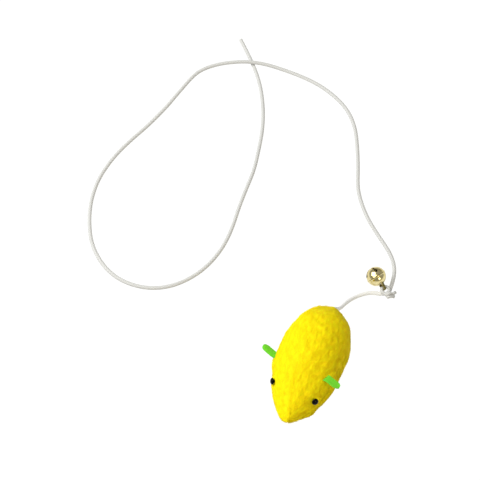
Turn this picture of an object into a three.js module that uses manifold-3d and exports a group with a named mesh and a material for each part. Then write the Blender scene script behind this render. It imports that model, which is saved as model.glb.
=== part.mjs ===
// A stuffed mouse toy for cats: a plush body of three sewn panels round a fibre filling, felt ears, bead
// eyes, and a tail cord that is tied to a long elastic cord, with a jingle bell held in the joining knot.
// Millimetres. The mouse lies on its belly on the plane z = 0, nose towards -Y and tail towards +Y.

import * as THREE from 'three';
import { mergeVertices } from 'three/addons/utils/BufferGeometryUtils.js';
import Module from 'manifold-3d';

// Driving dimensions of the body
const BODY_LENGTH = 60;
const BODY_WIDTH = 32;
const BODY_HEIGHT = 27;
const BELLY_FLAT_DEPTH = 0.5;
const COVER_THICKNESS = 1.6;
const SEAM_GAP = 0.3;
const CLEARANCE = 0.3;
const OVERRUN = 2;
const BELLY_PANEL_LENGTH = 50;
const BELLY_PANEL_WIDTH = 20;

// Ears and eyes
const EAR_LENGTH = 7;
const EAR_WIDTH = 4.2;
const EAR_THICKNESS = 1;
const EAR_ROOT_DEPTH = 3;
const EAR_BEND_HEIGHT = 0.8;
const EAR_CURL = 0.5;
const EYE_RADIUS = 1.6;
const EYE_HEIGHT = 1.1;
const EYE_EDGE = 0.25;
const EYE_SHANK_RADIUS = 0.6;
const EYE_SHANK_LENGTH = 3.2;

// Cords and knots
const CORD_RADIUS = 1;
const ANCHOR_DEPTH = 8;
const ANCHOR_KNOT_RADIUS = 1.9;
const ANCHOR_KNOT_STRAND_RADIUS = 0.73;
const anchorKnotReachShare = 1.5;
const anchorKnotDepthShare = 0.5;
const KNOT_LENGTH = 4.4;
const KNOT_WIDTH = 4.2;
const KNOT_HEIGHT = 4;
const KNOT_TURN_RADIUS = 1.35;
const KNOT_STRAND_RADIUS = 0.8;
const KNOT_SPACING = 0.65;
const KNOT_DRIFT = -0.3;
const knotCoreShare = 0.82;
const knotLegShare = 0.25;
const knotTurnLeans = [-35, 35];
const knotEndDirections = [[1.1, 3.9, 0.2], [2.9, 2.1, -0.65]];

// Jingle bell
const BELL_RADIUS = 4.8;
const BELL_WALL = 0.4;
const BELL_RIM_WIDTH = 0.2;
const BELL_RIM_HEIGHT = 0.35;
const BELL_SLOT_WIDTH = 0.8;
const BELL_SLOT_END_RADIUS = 0.85;
const LOOP_STAND = 1.6;
const LOOP_SLACK = 0.1;
const LOOP_STRIP_WIDTH = 1.4;
const LOOP_STRIP_THICKNESS = 0.4;
const PELLET_RADIUS = 1.2;

// Where the bell's loop hangs on the knot, measured from the floor point below the body's tail end,
// and the plan direction in which the knot lies from the bell
const LOOP_PLACE = [18.6, 25.7, 2.7];
const BELL_HEADING_DEGREES = -32.7;

// The toy lies rolled a little on its belly, so seams, ears and eyes are turned about the long axis
const ROLL_DEGREES = 9;

// Body shape: shares at thirteen stations that crowd towards the nose (first) and the tail (last)
const halfWidthShares = [0, 0.18, 0.335, 0.545, 0.775, 0.93, 0.985, 1, 0.95, 0.81, 0.6, 0.32, 0];
const topShares = [0.31, 0.375, 0.46, 0.58, 0.725, 0.87, 0.965, 1, 0.965, 0.875, 0.735, 0.59, 0.46];
const bottomShares = [0.31, 0.235, 0.155, 0.08, 0.03, 0.005, 0, 0, 0.01, 0.055, 0.15, 0.3, 0.46];
const widestHeightShare = 0.45;
const UPPER_ROUNDNESS = 2.1;
const LOWER_ROUNDNESS = 2.5;
const BELLY_PANEL_ROUNDNESS = 1.2;
const bellyPanelHeightShare = 0.6;

// Place of each ear and eye: share of the way from nose to tail in station steps, then degrees round
// from the back line. Ears also have the direction in which the felt points and their width direction.
const EARS = [
  { side: 'left', alongShare: 0.472, turn: 71, points: [-0.93, 0.35, 0.12], across: [0.3, 0.85, -0.38] },
  { side: 'right', alongShare: 0.42, turn: -55, points: [0.93, -0.36, 0.03], across: [0.1, 0.9, -0.34] },
];
const EYES = [
  { side: 'left', alongShare: 0.335, turn: 61 },
  { side: 'right', alongShare: 0.301, turn: -64 },
];
const earSectionShares = [-1, -0.6, 0, 0.6, 1];
const earEdgeThicknessShare = 0.5;
const earWidthShares = [0.76, 0.78, 0.84, 0.92, 0.98, 1, 1, 0.96, 0.84, 0.5];

// Loop strip of the bell, from inside the dome to the arch, as shares of the dome's inner radius
const loopFootShares = [[0.62, 0.6], [0.57, 0.68], [0.5, 0.86]];
const slotReachShare = 0.85;
const drillSpanShares = [0.5, 1.5];
const loopSlotReachShare = 0.64;

// Route of the tail cord's free stretch, from outside the tail hole to the knot, measured from the
// floor point below the body's tail end
const TAIL_ROUTE = [
  [1.2, 2, 10.8], [3.1, 3.9, 8.2], [4.2, 8.4, 5.2], [5.7, 12.9, 2.8], [7.3, 15.9, 1.55], [9.2, 18.1, 1.1],
  [12.2, 20.6, 1.03], [15.4, 22, 1.03], [17, 22.35, 1.06], [18.45, 22.55, 1.18],
];

// Route of the elastic cord from the knot, once round over itself, to its bare end
const ELASTIC_ROUTE = [
  [21.9, 26.6, 1.1], [21.95, 28.2, 1.05], [21.8, 30.5, 1.03], [21.3, 35, 1.03], [19.5, 40.3, 1.03],
  [15, 46.4, 1.03], [7.6, 52.8, 1.03], [-1.2, 60.8, 1.03], [-8.4, 69.9, 1.03], [-12.6, 77.6, 1.03],
  [-16.2, 88.2, 1.03], [-20.6, 99.7, 1.03], [-25.7, 110.7, 1.03], [-32, 119.1, 1.03], [-40, 125.2, 1.03],
  [-51, 130.1, 1.03], [-62, 132.4, 1.12], [-73.9, 133, 1.45], [-84.8, 132.1, 2.49], [-93.9, 129.4, 3.66],
  [-101.9, 125.6, 3.92], [-110.5, 119.9, 3.79], [-117.2, 111.9, 3.4], [-121, 98, 2.75], [-124, 85.5, 1.97],
  [-128.4, 71.4, 1.32], [-133.1, 58.9, 1.06], [-136.6, 46.3, 1.03], [-138, 32.2, 1.03], [-136.1, 18.7, 1.03],
  [-131.4, 6.3, 1.03], [-124.7, -4.6, 1.03], [-115.8, -12.6, 1.03], [-106.1, -17.2, 1.03],
  [-96.4, -18.2, 1.03], [-87.8, -16.7, 1.03], [-80.1, -12.9, 1.03], [-73.9, -7.2, 1.03], [-68.6, 0.5, 1.03],
  [-65, 9.6, 1.03], [-63.2, 19.7, 1.03], [-63.2, 30.4, 1.03], [-64.4, 42, 1.03], [-65.2, 54, 1.03],
  [-65.8, 66, 1.03], [-67.9, 78, 1.03], [-71.1, 92, 1.03], [-75.5, 104.3, 1.03], [-81.1, 115.6, 1.03],
  [-87, 124.6, 1.03], [-92.6, 131.4, 1.03], [-97.9, 137.2, 1.03], [-105.4, 145, 1.03],
];

// Facets
const BODY_RINGS = 22;
const BODY_SEGMENTS = 28;
const FILLING_RINGS = 16;
const FILLING_SEGMENTS = 20;
const LATHE_SEGMENTS = 24;
const BEAD_SEGMENTS = 16;
const ARC_STEPS = 6;
const CORD_SIDES = 8;
const ELASTIC_STEPS = 74;
const TAIL_STEPS = 12;
const BIGHT_STEPS = 22;
const ANCHOR_KNOT_STEPS = 42;
const LOOP_STEPS = 26;
const ROUND_SEGMENTS = 12;
const ROUND_RINGS = 8;
const normalStepShare = 1e-3;

const MATERIALS = {
  plush: { color: '#f3e016', roughness: 0.95, metalness: 0 },
  filling: { color: '#f4f2ea', roughness: 1, metalness: 0 },
  felt: { color: '#5fd62f', roughness: 0.95, metalness: 0 },
  bead: { color: '#0b0b0c', roughness: 0.12, metalness: 0 },
  cord: { color: '#f7f6f2', roughness: 0.7, metalness: 0 },
  brass: { color: '#d9c37a', roughness: 0.15, metalness: 1 },
  steel: { color: '#8e9094', roughness: 0.3, metalness: 1 },
};

const wasm = await Module();
wasm.setup();

const radians = THREE.MathUtils.degToRad;
const vector = ([x, y, z]) => new THREE.Vector3(x, y, z);

const BOX_SIZE = 2 * (BODY_LENGTH + BODY_WIDTH + BODY_HEIGHT);
const ANCHOR_KNOT_FACE = anchorKnotDepthShare * ANCHOR_KNOT_RADIUS + ANCHOR_KNOT_STRAND_RADIUS + CLEARANCE;
const LOOP_RADIUS = KNOT_STRAND_RADIUS + CLEARANCE + LOOP_SLACK + LOOP_STRIP_THICKNESS / 2;
const KNOT_REACH = LOOP_RADIUS + LOOP_STRIP_THICKNESS / 2 + KNOT_SPACING + KNOT_LENGTH / 2;
const KNOT_REST_HEIGHT = KNOT_TURN_RADIUS + KNOT_STRAND_RADIUS + CLEARANCE;
const BELL_ARM = BELL_RADIUS + LOOP_STAND;
const BELL_HOLLOW_RADIUS = BELL_RADIUS - BELL_WALL;
const BELL_RIM_RADIUS = BELL_RADIUS + BELL_RIM_WIDTH;
const TAIL_HEIGHT = topShares.at(-1) * (BODY_HEIGHT + BELLY_FLAT_DEPTH) - BELLY_FLAT_DEPTH;

// Solids

function toSolid(geometry) {
  const bare = geometry.clone();
  bare.deleteAttribute('normal');
  bare.deleteAttribute('uv');
  const merged = mergeVertices(bare);
  const mesh = new wasm.Mesh({
    numProp: 3,
    vertProperties: new Float32Array(merged.attributes.position.array),
    triVerts: new Uint32Array(merged.index.array),
  });
  mesh.merge();
  return new wasm.Manifold(mesh);
}

function toGeometry(solid) {
  const { vertProperties, triVerts } = solid.getMesh();
  const geometry = new THREE.BufferGeometry();
  geometry.setAttribute('position', new THREE.BufferAttribute(vertProperties, 3));
  geometry.setIndex(new THREE.BufferAttribute(triVerts, 1));
  return geometry;
}

function piece(name, geometry, material) {
  const plain = geometry.index ? geometry.toNonIndexed() : geometry;
  plain.computeVertexNormals();
  const mesh = new THREE.Mesh(plain, new THREE.MeshStandardMaterial(MATERIALS[material]));
  mesh.name = name;
  return mesh;
}

// Joins rings of points, each with as many points, into a closed body; a ring of one point is a tip
function ringBody(rings) {
  const count = Math.max(...rings.map((ring) => ring.length));
  const position = rings.flatMap((ring) => ring.flatMap((point) => point.toArray()));
  const starts = rings.map((_, k) => rings.slice(0, k).reduce((sum, ring) => sum + ring.length, 0));
  const at = (k, j) => starts[k] + (rings[k].length === 1 ? 0 : j % count);
  const index = [];
  for (let k = 0; k + 1 < rings.length; k += 1) {
    for (let j = 0; j < count; j += 1) {
      if (rings[k].length > 1) index.push(at(k, j), at(k + 1, j), at(k, j + 1));
      if (rings[k + 1].length > 1) index.push(at(k, j + 1), at(k + 1, j), at(k + 1, j + 1));
    }
  }
  const geometry = new THREE.BufferGeometry();
  geometry.setAttribute('position', new THREE.Float32BufferAttribute(position, 3));
  geometry.setIndex(index);
  return geometry;
}

function tube(points, radius, steps) {
  const section = new THREE.Shape();
  for (let k = 0; k < CORD_SIDES; k += 1) {
    const angle = ((k + 0.5) / CORD_SIDES) * 2 * Math.PI;
    const move = k === 0 ? 'moveTo' : 'lineTo';
    section[move](radius * Math.cos(angle), radius * Math.sin(angle));
  }
  const extrudePath = new THREE.CatmullRomCurve3(points);
  return new THREE.ExtrudeGeometry(section, { steps, bevelEnabled: false, extrudePath });
}

function rod(radius, from, to) {
  const length = to.clone().sub(from);
  const geometry = new THREE.CylinderGeometry(radius, radius, length.length(), BEAD_SEGMENTS);
  const turn = new THREE.Quaternion().setFromUnitVectors(new THREE.Vector3(0, 1, 0), length.normalize());
  geometry.applyQuaternion(turn);
  geometry.translate(...from.clone().add(to).multiplyScalar(0.5).toArray());
  return geometry;
}

// Body surface

// Smooth value of a list of shares at a step number; the list goes on past each end as told
function smoothShare(shares, before, after, step) {
  const k = Math.min(Math.floor(step), shares.length - 2);
  const w = step - k;
  const a = k > 0 ? shares[k - 1] : before;
  const b = shares[k];
  const c = shares[k + 1];
  const d = k + 2 < shares.length ? shares[k + 2] : after;
  return b + 0.5 * w * (c - a + w * (2 * a - 5 * b + 4 * c - d + w * (3 * (b - c) + d - a)));
}

function signedPower(value, power) {
  return Math.sign(value) * Math.abs(value) ** power;
}

function bodyPoint(alongShare, angle) {
  const step = alongShare * (topShares.length - 1);
  const width = smoothShare(halfWidthShares, -halfWidthShares[1], -halfWidthShares.at(-2), step);
  const top = smoothShare(topShares, bottomShares[1], bottomShares.at(-2), step);
  const bottom = smoothShare(bottomShares, topShares[1], topShares.at(-2), step);
  const widest = bottom + (top - bottom) * widestHeightShare;
  const roundness = Math.sin(angle) >= 0 ? UPPER_ROUNDNESS : LOWER_ROUNDNESS;
  const reach = Math.sin(angle) >= 0 ? top - widest : widest - bottom;
  const up = widest + reach * signedPower(Math.sin(angle), 2 / roundness);
  return new THREE.Vector3(
    (BODY_WIDTH / 2) * width * signedPower(Math.cos(angle), 2 / roundness),
    (-BODY_LENGTH / 2) * Math.cos(alongShare * Math.PI),
    up * (BODY_HEIGHT + BELLY_FLAT_DEPTH) - BELLY_FLAT_DEPTH,
  );
}

function bodyNormal(alongShare, angle) {
  if (alongShare < normalStepShare) return new THREE.Vector3(0, -1, 0);
  if (alongShare > 1 - normalStepShare) return new THREE.Vector3(0, 1, 0);
  const step = normalStepShare;
  const along = bodyPoint(alongShare + step, angle).sub(bodyPoint(alongShare - step, angle));
  const round = bodyPoint(alongShare, angle + step).sub(bodyPoint(alongShare, angle - step));
  return round.cross(along).normalize().negate();
}

// The closed body surface, moved inwards by a depth
function bodySurface(depth, ringCount, segmentCount) {
  const rings = [];
  for (let k = 0; k <= ringCount; k += 1) {
    const alongShare = k / ringCount;
    const isTip = k === 0 || k === ringCount;
    const ring = [];
    for (let j = 0; j < (isTip ? 1 : segmentCount); j += 1) {
      const angle = ((j + 0.5) / segmentCount) * 2 * Math.PI;
      const inwards = bodyNormal(alongShare, angle).multiplyScalar(-depth);
      ring.push(bodyPoint(alongShare, angle).add(inwards));
    }
    rings.push(ring);
  }
  return ringBody(rings);
}

// Turns a geometry about the body's long axis, as the toy lies
function rolled(geometry) {
  geometry.translate(0, 0, -TAIL_HEIGHT);
  geometry.rotateY(-radians(ROLL_DEGREES));
  geometry.translate(0, 0, TAIL_HEIGHT);
  return geometry;
}

// Angle on the body's sections that lies a number of degrees round from the back line, to the left
function rolledAngle(turn) {
  return radians(90 + ROLL_DEGREES + turn);
}

// Everything beyond the back seam of the cover on the other side: to the right for 1, to the left for -1
function beyondSeam(side) {
  const box = new THREE.BoxGeometry(BOX_SIZE, BOX_SIZE, BOX_SIZE);
  box.translate(side * (BOX_SIZE / 2 - SEAM_GAP / 2), 0, 0);
  return toSolid(rolled(box));
}

function bellyPrism(margin) {
  const outline = new THREE.Shape();
  const halfLength = BELLY_PANEL_LENGTH / 2 + margin;
  const halfWidth = BELLY_PANEL_WIDTH / 2 + margin;
  for (let k = 0; k < BODY_SEGMENTS; k += 1) {
    const angle = (k / BODY_SEGMENTS) * 2 * Math.PI;
    const x = halfWidth * signedPower(Math.sin(angle), BELLY_PANEL_ROUNDNESS);
    const move = k === 0 ? 'moveTo' : 'lineTo';
    outline[move](x, -halfLength * Math.cos(angle));
  }
  const depth = OVERRUN + TAIL_HEIGHT;
  const prism = new THREE.ExtrudeGeometry(outline, { depth, bevelEnabled: false });
  prism.translate(0, 0, bellyPanelHeightShare * TAIL_HEIGHT - depth);
  return toSolid(rolled(prism));
}

function belowFloor() {
  const box = new THREE.BoxGeometry(BOX_SIZE, BOX_SIZE, BOX_SIZE);
  return toSolid(box.translate(0, 0, -BOX_SIZE / 2));
}

// Ears: a felt leaf whose root goes straight into the body and whose tab bends to its own direction

function earSolid(ear, margin) {
  const angle = rolledAngle(ear.turn);
  const base = bodyPoint(ear.alongShare, angle);
  const normal = bodyNormal(ear.alongShare, angle);
  const points = vector(ear.points).normalize();
  const rootDepth = COVER_THICKNESS + EAR_ROOT_DEPTH;
  const bend = base.clone().addScaledVector(normal, EAR_BEND_HEIGHT).addScaledVector(points, EAR_BEND_HEIGHT);
  const route = new THREE.CatmullRomCurve3([
    base.clone().addScaledVector(normal, -rootDepth - margin),
    base.clone().addScaledVector(normal, -rootDepth / 2),
    base,
    bend,
    bend.clone().addScaledVector(points, EAR_LENGTH / 2),
    bend.clone().addScaledVector(points, EAR_LENGTH - EAR_BEND_HEIGHT),
  ]);
  const count = earWidthShares.length - 1;
  const rings = earWidthShares.map((share, k) => {
    const halfWidth = (EAR_WIDTH / 2) * share + margin;
    return earRing(route, k / count, vector(ear.across), halfWidth, EAR_THICKNESS / 2 + margin);
  });
  const ends = [[route.getPoint(0)], ...rings, [route.getPoint(1)]];
  return toSolid(ringBody(ends));
}

function earRing(route, share, acrossHint, halfWidth, halfThickness) {
  const along = route.getTangentAt(share);
  const across = acrossHint.addScaledVector(along, -along.dot(acrossHint)).normalize();
  const face = new THREE.Vector3().crossVectors(along, across);
  const centre = route.getPointAt(share);
  const edge = (step) => (Math.abs(step) === 1 ? earEdgeThicknessShare : 1);
  const place = (step, side) => {
    const bow = EAR_CURL * share * step * step;
    return centre.clone()
      .addScaledVector(across, step * halfWidth)
      .addScaledVector(face, bow + side * edge(step) * halfThickness);
  };
  const upper = earSectionShares.map((step) => place(step, 1));
  const lower = earSectionShares.toReversed().map((step) => place(step, -1));
  return [...upper, ...lower];
}

// Eyes: a domed bead on a short shank

function eyeGeometry() {
  const profile = [
    new THREE.Vector2(0, -EYE_SHANK_LENGTH),
    new THREE.Vector2(EYE_SHANK_RADIUS, -EYE_SHANK_LENGTH),
    new THREE.Vector2(EYE_SHANK_RADIUS, 0),
    new THREE.Vector2(EYE_RADIUS, 0),
  ];
  for (let k = 0; k < ARC_STEPS; k += 1) {
    const angle = (k / ARC_STEPS) * (Math.PI / 2);
    const height = EYE_EDGE + (EYE_HEIGHT - EYE_EDGE) * Math.sin(angle);
    profile.push(new THREE.Vector2(EYE_RADIUS * Math.cos(angle), height));
  }
  profile.push(new THREE.Vector2(0, EYE_HEIGHT));
  return new THREE.LatheGeometry(profile, BEAD_SEGMENTS);
}

function eyeSeat(eye) {
  const angle = rolledAngle(eye.turn);
  return { base: bodyPoint(eye.alongShare, angle), normal: bodyNormal(eye.alongShare, angle) };
}

function eyeHole(eye) {
  const { base, normal } = eyeSeat(eye);
  const inner = base.clone().addScaledVector(normal, -EYE_SHANK_LENGTH);
  const outer = base.clone().addScaledVector(normal, EYE_HEIGHT);
  return toSolid(rod(EYE_SHANK_RADIUS + CLEARANCE, inner, outer));
}

function eyePiece(eye) {
  const { base, normal } = eyeSeat(eye);
  const mesh = piece(`eye_${eye.side}`, eyeGeometry(), 'bead');
  mesh.position.copy(base.addScaledVector(normal, CLEARANCE));
  mesh.quaternion.setFromUnitVectors(new THREE.Vector3(0, 1, 0), normal);
  return mesh;
}

// Tail hole and the pocket for the knot that anchors the tail cord inside the filling

function tailHole() {
  const inner = new THREE.Vector3(0, BODY_LENGTH / 2 - ANCHOR_DEPTH, TAIL_HEIGHT);
  const outer = new THREE.Vector3(0, BODY_LENGTH / 2 + OVERRUN, TAIL_HEIGHT);
  return toSolid(rod(CORD_RADIUS + CLEARANCE, inner, outer));
}

function anchorPocket() {
  const radius = anchorKnotReachShare * ANCHOR_KNOT_RADIUS + ANCHOR_KNOT_STRAND_RADIUS + CLEARANCE;
  const centre = new THREE.Vector3(0, BODY_LENGTH / 2 - ANCHOR_DEPTH, TAIL_HEIGHT);
  const reach = new THREE.Vector3(0, ANCHOR_KNOT_FACE, 0);
  return toSolid(rod(radius, centre.clone().sub(reach), centre.clone().add(reach)));
}

function anchorKnot() {
  const strand = ANCHOR_KNOT_STRAND_RADIUS;
  const geometry = new THREE.TorusKnotGeometry(ANCHOR_KNOT_RADIUS, strand, ANCHOR_KNOT_STEPS, CORD_SIDES);
  const mesh = piece('tail_anchor_knot', geometry, 'cord');
  mesh.position.set(0, BODY_LENGTH / 2 - ANCHOR_DEPTH, TAIL_HEIGHT);
  mesh.rotation.x = Math.PI / 2;
  return mesh;
}

// The body's sewn panels and filling

function bodyPieces() {
  const ears = EARS.map((ear) => earSolid(ear, CLEARANCE));
  const eyes = EYES.map(eyeHole);
  const inner = toSolid(bodySurface(COVER_THICKNESS, BODY_RINGS, BODY_SEGMENTS));
  let shell = toSolid(bodySurface(0, BODY_RINGS, BODY_SEGMENTS)).subtract(inner).subtract(belowFloor());
  let filling = toSolid(bodySurface(COVER_THICKNESS + CLEARANCE, FILLING_RINGS, FILLING_SEGMENTS));
  for (const cut of [...ears, ...eyes, tailHole()]) {
    shell = shell.subtract(cut);
    filling = filling.subtract(cut);
  }
  filling = filling.subtract(anchorPocket());
  const sides = shell.subtract(bellyPrism(SEAM_GAP / 2));
  return [
    piece('cover_left', toGeometry(sides.subtract(beyondSeam(1))), 'plush'),
    piece('cover_right', toGeometry(sides.subtract(beyondSeam(-1))), 'plush'),
    piece('belly_panel', toGeometry(shell.intersect(bellyPrism(-SEAM_GAP / 2))), 'plush'),
    piece('stuffing', toGeometry(filling), 'filling'),
    ...EARS.map((ear) => piece(`ear_${ear.side}`, toGeometry(earSolid(ear, 0)), 'felt')),
    ...EYES.map(eyePiece),
  ];
}

// Cords

function tailCord() {
  const inside = [ANCHOR_KNOT_FACE - ANCHOR_DEPTH, -COVER_THICKNESS, CLEARANCE];
  const hidden = inside.map((y) => new THREE.Vector3(0, y, TAIL_HEIGHT));
  const route = [...hidden, ...TAIL_ROUTE.map(vector)];
  return piece('tail_cord', tube(route, CORD_RADIUS, TAIL_STEPS), 'cord');
}

function elasticCord() {
  const geometry = tube(ELASTIC_ROUTE.map(vector), CORD_RADIUS, ELASTIC_STEPS);
  return piece('elastic_cord', geometry, 'cord');
}

// The joining knot: a lump of crossed turns, two cut ends, and the bight that holds the bell's loop.
// Its frame has +X from the bell's loop towards the knot and +Y along the strand in the loop.

function joiningKnot() {
  const centre = new THREE.Vector3(KNOT_REACH, KNOT_DRIFT, KNOT_REST_HEIGHT - LOOP_PLACE[2]);
  const core = new THREE.SphereGeometry(knotCoreShare / 2, ROUND_SEGMENTS, ROUND_RINGS);
  core.scale(KNOT_LENGTH, KNOT_WIDTH, KNOT_HEIGHT);
  core.translate(...centre.toArray());
  let knot = toSolid(core);
  for (const lean of knotTurnLeans) {
    knot = knot.add(toSolid(knotTurn(lean).translate(...centre.toArray())));
  }
  for (const end of knotEndDirections) {
    const tip = vector(end).setLength(KNOT_LENGTH + KNOT_STRAND_RADIUS / 2).add(centre);
    knot = knot.add(toSolid(rod(KNOT_STRAND_RADIUS, centre, tip)));
  }
  knot = knot.add(toSolid(tube(bightRoute(centre), KNOT_STRAND_RADIUS, BIGHT_STEPS)));
  return piece('joining_knot', toGeometry(knot), 'cord');
}

function knotTurn(lean) {
  const turn = new THREE.TorusGeometry(KNOT_TURN_RADIUS, KNOT_STRAND_RADIUS, CORD_SIDES, ROUND_SEGMENTS);
  turn.rotateX(Math.PI / 2);
  turn.rotateZ(Math.PI / 2 + radians(lean));
  return turn;
}

function bightRoute(centre) {
  const reach = LOOP_STRIP_WIDTH / 2 + CLEARANCE + KNOT_STRAND_RADIUS;
  const half = [
    new THREE.Vector3(0, 0, 0),
    new THREE.Vector3(0, LOOP_STRIP_WIDTH / 2, 0),
    new THREE.Vector3(KNOT_STRAND_RADIUS, reach, 0),
    new THREE.Vector3(LOOP_RADIUS + LOOP_STRIP_THICKNESS, reach, 0),
  ];
  const end = centre.clone().setY(KNOT_DRIFT + knotLegShare * KNOT_WIDTH);
  const other = centre.clone().setY(KNOT_DRIFT - knotLegShare * KNOT_WIDTH);
  const mirrored = half.slice(1).reverse().map((point) => point.clone().setY(-point.y));
  return [other, ...mirrored, ...half, end];
}

// Jingle bell, in a frame with its centre at the origin and +Z towards its loop

function arcPoints(radius, fromAngle, toAngle) {
  const points = [];
  for (let k = 0; k <= ARC_STEPS; k += 1) {
    const angle = fromAngle + ((toAngle - fromAngle) * k) / ARC_STEPS;
    points.push(new THREE.Vector2(radius * Math.cos(angle), radius * Math.sin(angle)));
  }
  return points;
}

function bellShell(side) {
  const face = SEAM_GAP / 2;
  const rimTop = face + BELL_RIM_HEIGHT;
  const outerStart = Math.asin(rimTop / BELL_RADIUS);
  const half = [
    ...arcPoints(BELL_HOLLOW_RADIUS, Math.PI / 2, Math.asin(face / BELL_HOLLOW_RADIUS)),
    new THREE.Vector2(BELL_RIM_RADIUS, face),
    new THREE.Vector2(BELL_RIM_RADIUS, rimTop),
    ...arcPoints(BELL_RADIUS, outerStart, Math.PI / 2),
  ];
  half[0].x = 0;
  half.at(-1).x = 0;
  const profile = side > 0 ? half : half.map((point) => point.setY(-point.y)).reverse();
  const shell = new THREE.LatheGeometry(profile, LATHE_SEGMENTS);
  return toSolid(shell.rotateX(Math.PI / 2));
}

function bellDome() {
  const length = 2 * loopSlotReachShare * BELL_HOLLOW_RADIUS;
  const width = LOOP_STRIP_WIDTH + 2 * CLEARANCE;
  const slot = new THREE.BoxGeometry(length, width, BELL_RADIUS).translate(0, 0, BELL_RADIUS);
  return piece('bell_dome', toGeometry(bellShell(1).subtract(toSolid(slot))), 'brass');
}

function bellCup() {
  const reach = slotReachShare * BELL_RADIUS;
  const top = Math.sqrt(BELL_HOLLOW_RADIUS ** 2 - reach ** 2) - BELL_WALL;
  const height = BELL_RADIUS + BELL_WALL - top;
  let cup = bellShell(-1);
  for (const turn of [0, Math.PI / 2]) {
    const slot = new THREE.BoxGeometry(2 * reach, BELL_SLOT_WIDTH, height);
    slot.translate(0, 0, -top - height / 2).rotateZ(turn);
    cup = cup.subtract(toSolid(slot));
    for (const side of [-1, 1]) {
      const end = new THREE.Vector3(side * reach, 0, -Math.sqrt(BELL_RADIUS ** 2 - reach ** 2));
      end.applyAxisAngle(new THREE.Vector3(0, 0, 1), turn);
      const [inner, outer] = drillSpanShares.map((share) => end.clone().multiplyScalar(share));
      cup = cup.subtract(toSolid(rod(BELL_SLOT_END_RADIUS, inner, outer)));
    }
  }
  return piece('bell_cup', toGeometry(cup), 'brass');
}

function bellLoop() {
  const footPoint = ([x, z]) => new THREE.Vector3(x, 0, z).multiplyScalar(BELL_HOLLOW_RADIUS);
  const foot = loopFootShares.map(footPoint);
  const arch = [];
  for (let k = 0; k <= ARC_STEPS; k += 1) {
    const angle = (k / ARC_STEPS) * Math.PI;
    arch.push(new THREE.Vector3(LOOP_RADIUS * Math.cos(angle), 0, BELL_ARM + LOOP_RADIUS * Math.sin(angle)));
  }
  const otherFoot = foot.toReversed().map((point) => point.clone().setX(-point.x));
  const extrudePath = new THREE.CatmullRomCurve3([...foot, ...arch, ...otherFoot]);
  const section = new THREE.Shape();
  section.moveTo(-LOOP_STRIP_WIDTH / 2, -LOOP_STRIP_THICKNESS / 2);
  section.lineTo(LOOP_STRIP_WIDTH / 2, -LOOP_STRIP_THICKNESS / 2);
  section.lineTo(LOOP_STRIP_WIDTH / 2, LOOP_STRIP_THICKNESS / 2);
  section.lineTo(-LOOP_STRIP_WIDTH / 2, LOOP_STRIP_THICKNESS / 2);
  const strip = new THREE.ExtrudeGeometry(section, { steps: LOOP_STEPS, bevelEnabled: false, extrudePath });
  return piece('bell_loop', strip, 'brass');
}

// The pellet lies at the lowest point of the hollow bell
function bellPellet(down) {
  const geometry = new THREE.SphereGeometry(PELLET_RADIUS, ROUND_SEGMENTS, ROUND_RINGS);
  const mesh = piece('bell_pellet', geometry, 'steel');
  const drop = BELL_HOLLOW_RADIUS - CLEARANCE - PELLET_RADIUS;
  mesh.position.copy(down).multiplyScalar(drop);
  return mesh;
}

function bell() {
  const heading = radians(BELL_HEADING_DEGREES);
  const tilt = Math.asin((LOOP_PLACE[2] - BELL_RIM_RADIUS) / BELL_ARM);
  const alongStrand = new THREE.Vector3(-Math.sin(heading), Math.cos(heading), 0);
  const towardsLoop = new THREE.Vector3(Math.cos(heading), Math.sin(heading), 0);
  towardsLoop.multiplyScalar(Math.cos(tilt)).setZ(Math.sin(tilt));
  const sideways = new THREE.Vector3().crossVectors(alongStrand, towardsLoop);
  const group = new THREE.Group();
  group.setRotationFromMatrix(new THREE.Matrix4().makeBasis(sideways, alongStrand, towardsLoop));
  group.position.copy(vector(LOOP_PLACE)).addScaledVector(towardsLoop, -BELL_ARM);
  const down = new THREE.Vector3(0, 0, -1).applyQuaternion(group.quaternion.clone().invert());
  group.add(bellDome(), bellCup(), bellLoop(), bellPellet(down));
  return group;
}

function knotGroup() {
  const group = new THREE.Group();
  group.position.copy(vector(LOOP_PLACE));
  group.rotation.z = radians(BELL_HEADING_DEGREES);
  group.add(joiningKnot());
  return group;
}

// Everything tied to the tail, in a frame at the floor point below the body's tail end
function tailLine() {
  const group = new THREE.Group();
  group.position.y = BODY_LENGTH / 2;
  group.add(tailCord(), elasticCord(), knotGroup(), bell());
  return group;
}

const toy = new THREE.Group();
toy.add(...bodyPieces(), anchorKnot(), tailLine());

export default toy;
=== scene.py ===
# %% [markdown]
# # A stuffed mouse for cats
# A yellow plush mouse lies on a white table. Its tail cord is tied to a long elastic cord, and a small jingle
# bell hangs in that knot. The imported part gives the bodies, joints and sizes. This notebook gives the looks: each
# piece is a surface worked out with numpy, and each finish is a handful of shader nodes. Lengths are written in
# millimetres, and become metres where a mesh is made. Those of the lights and of the camera's range are in metres.

import bmesh
import bpy
import numpy as np
from mathutils import Matrix


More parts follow.
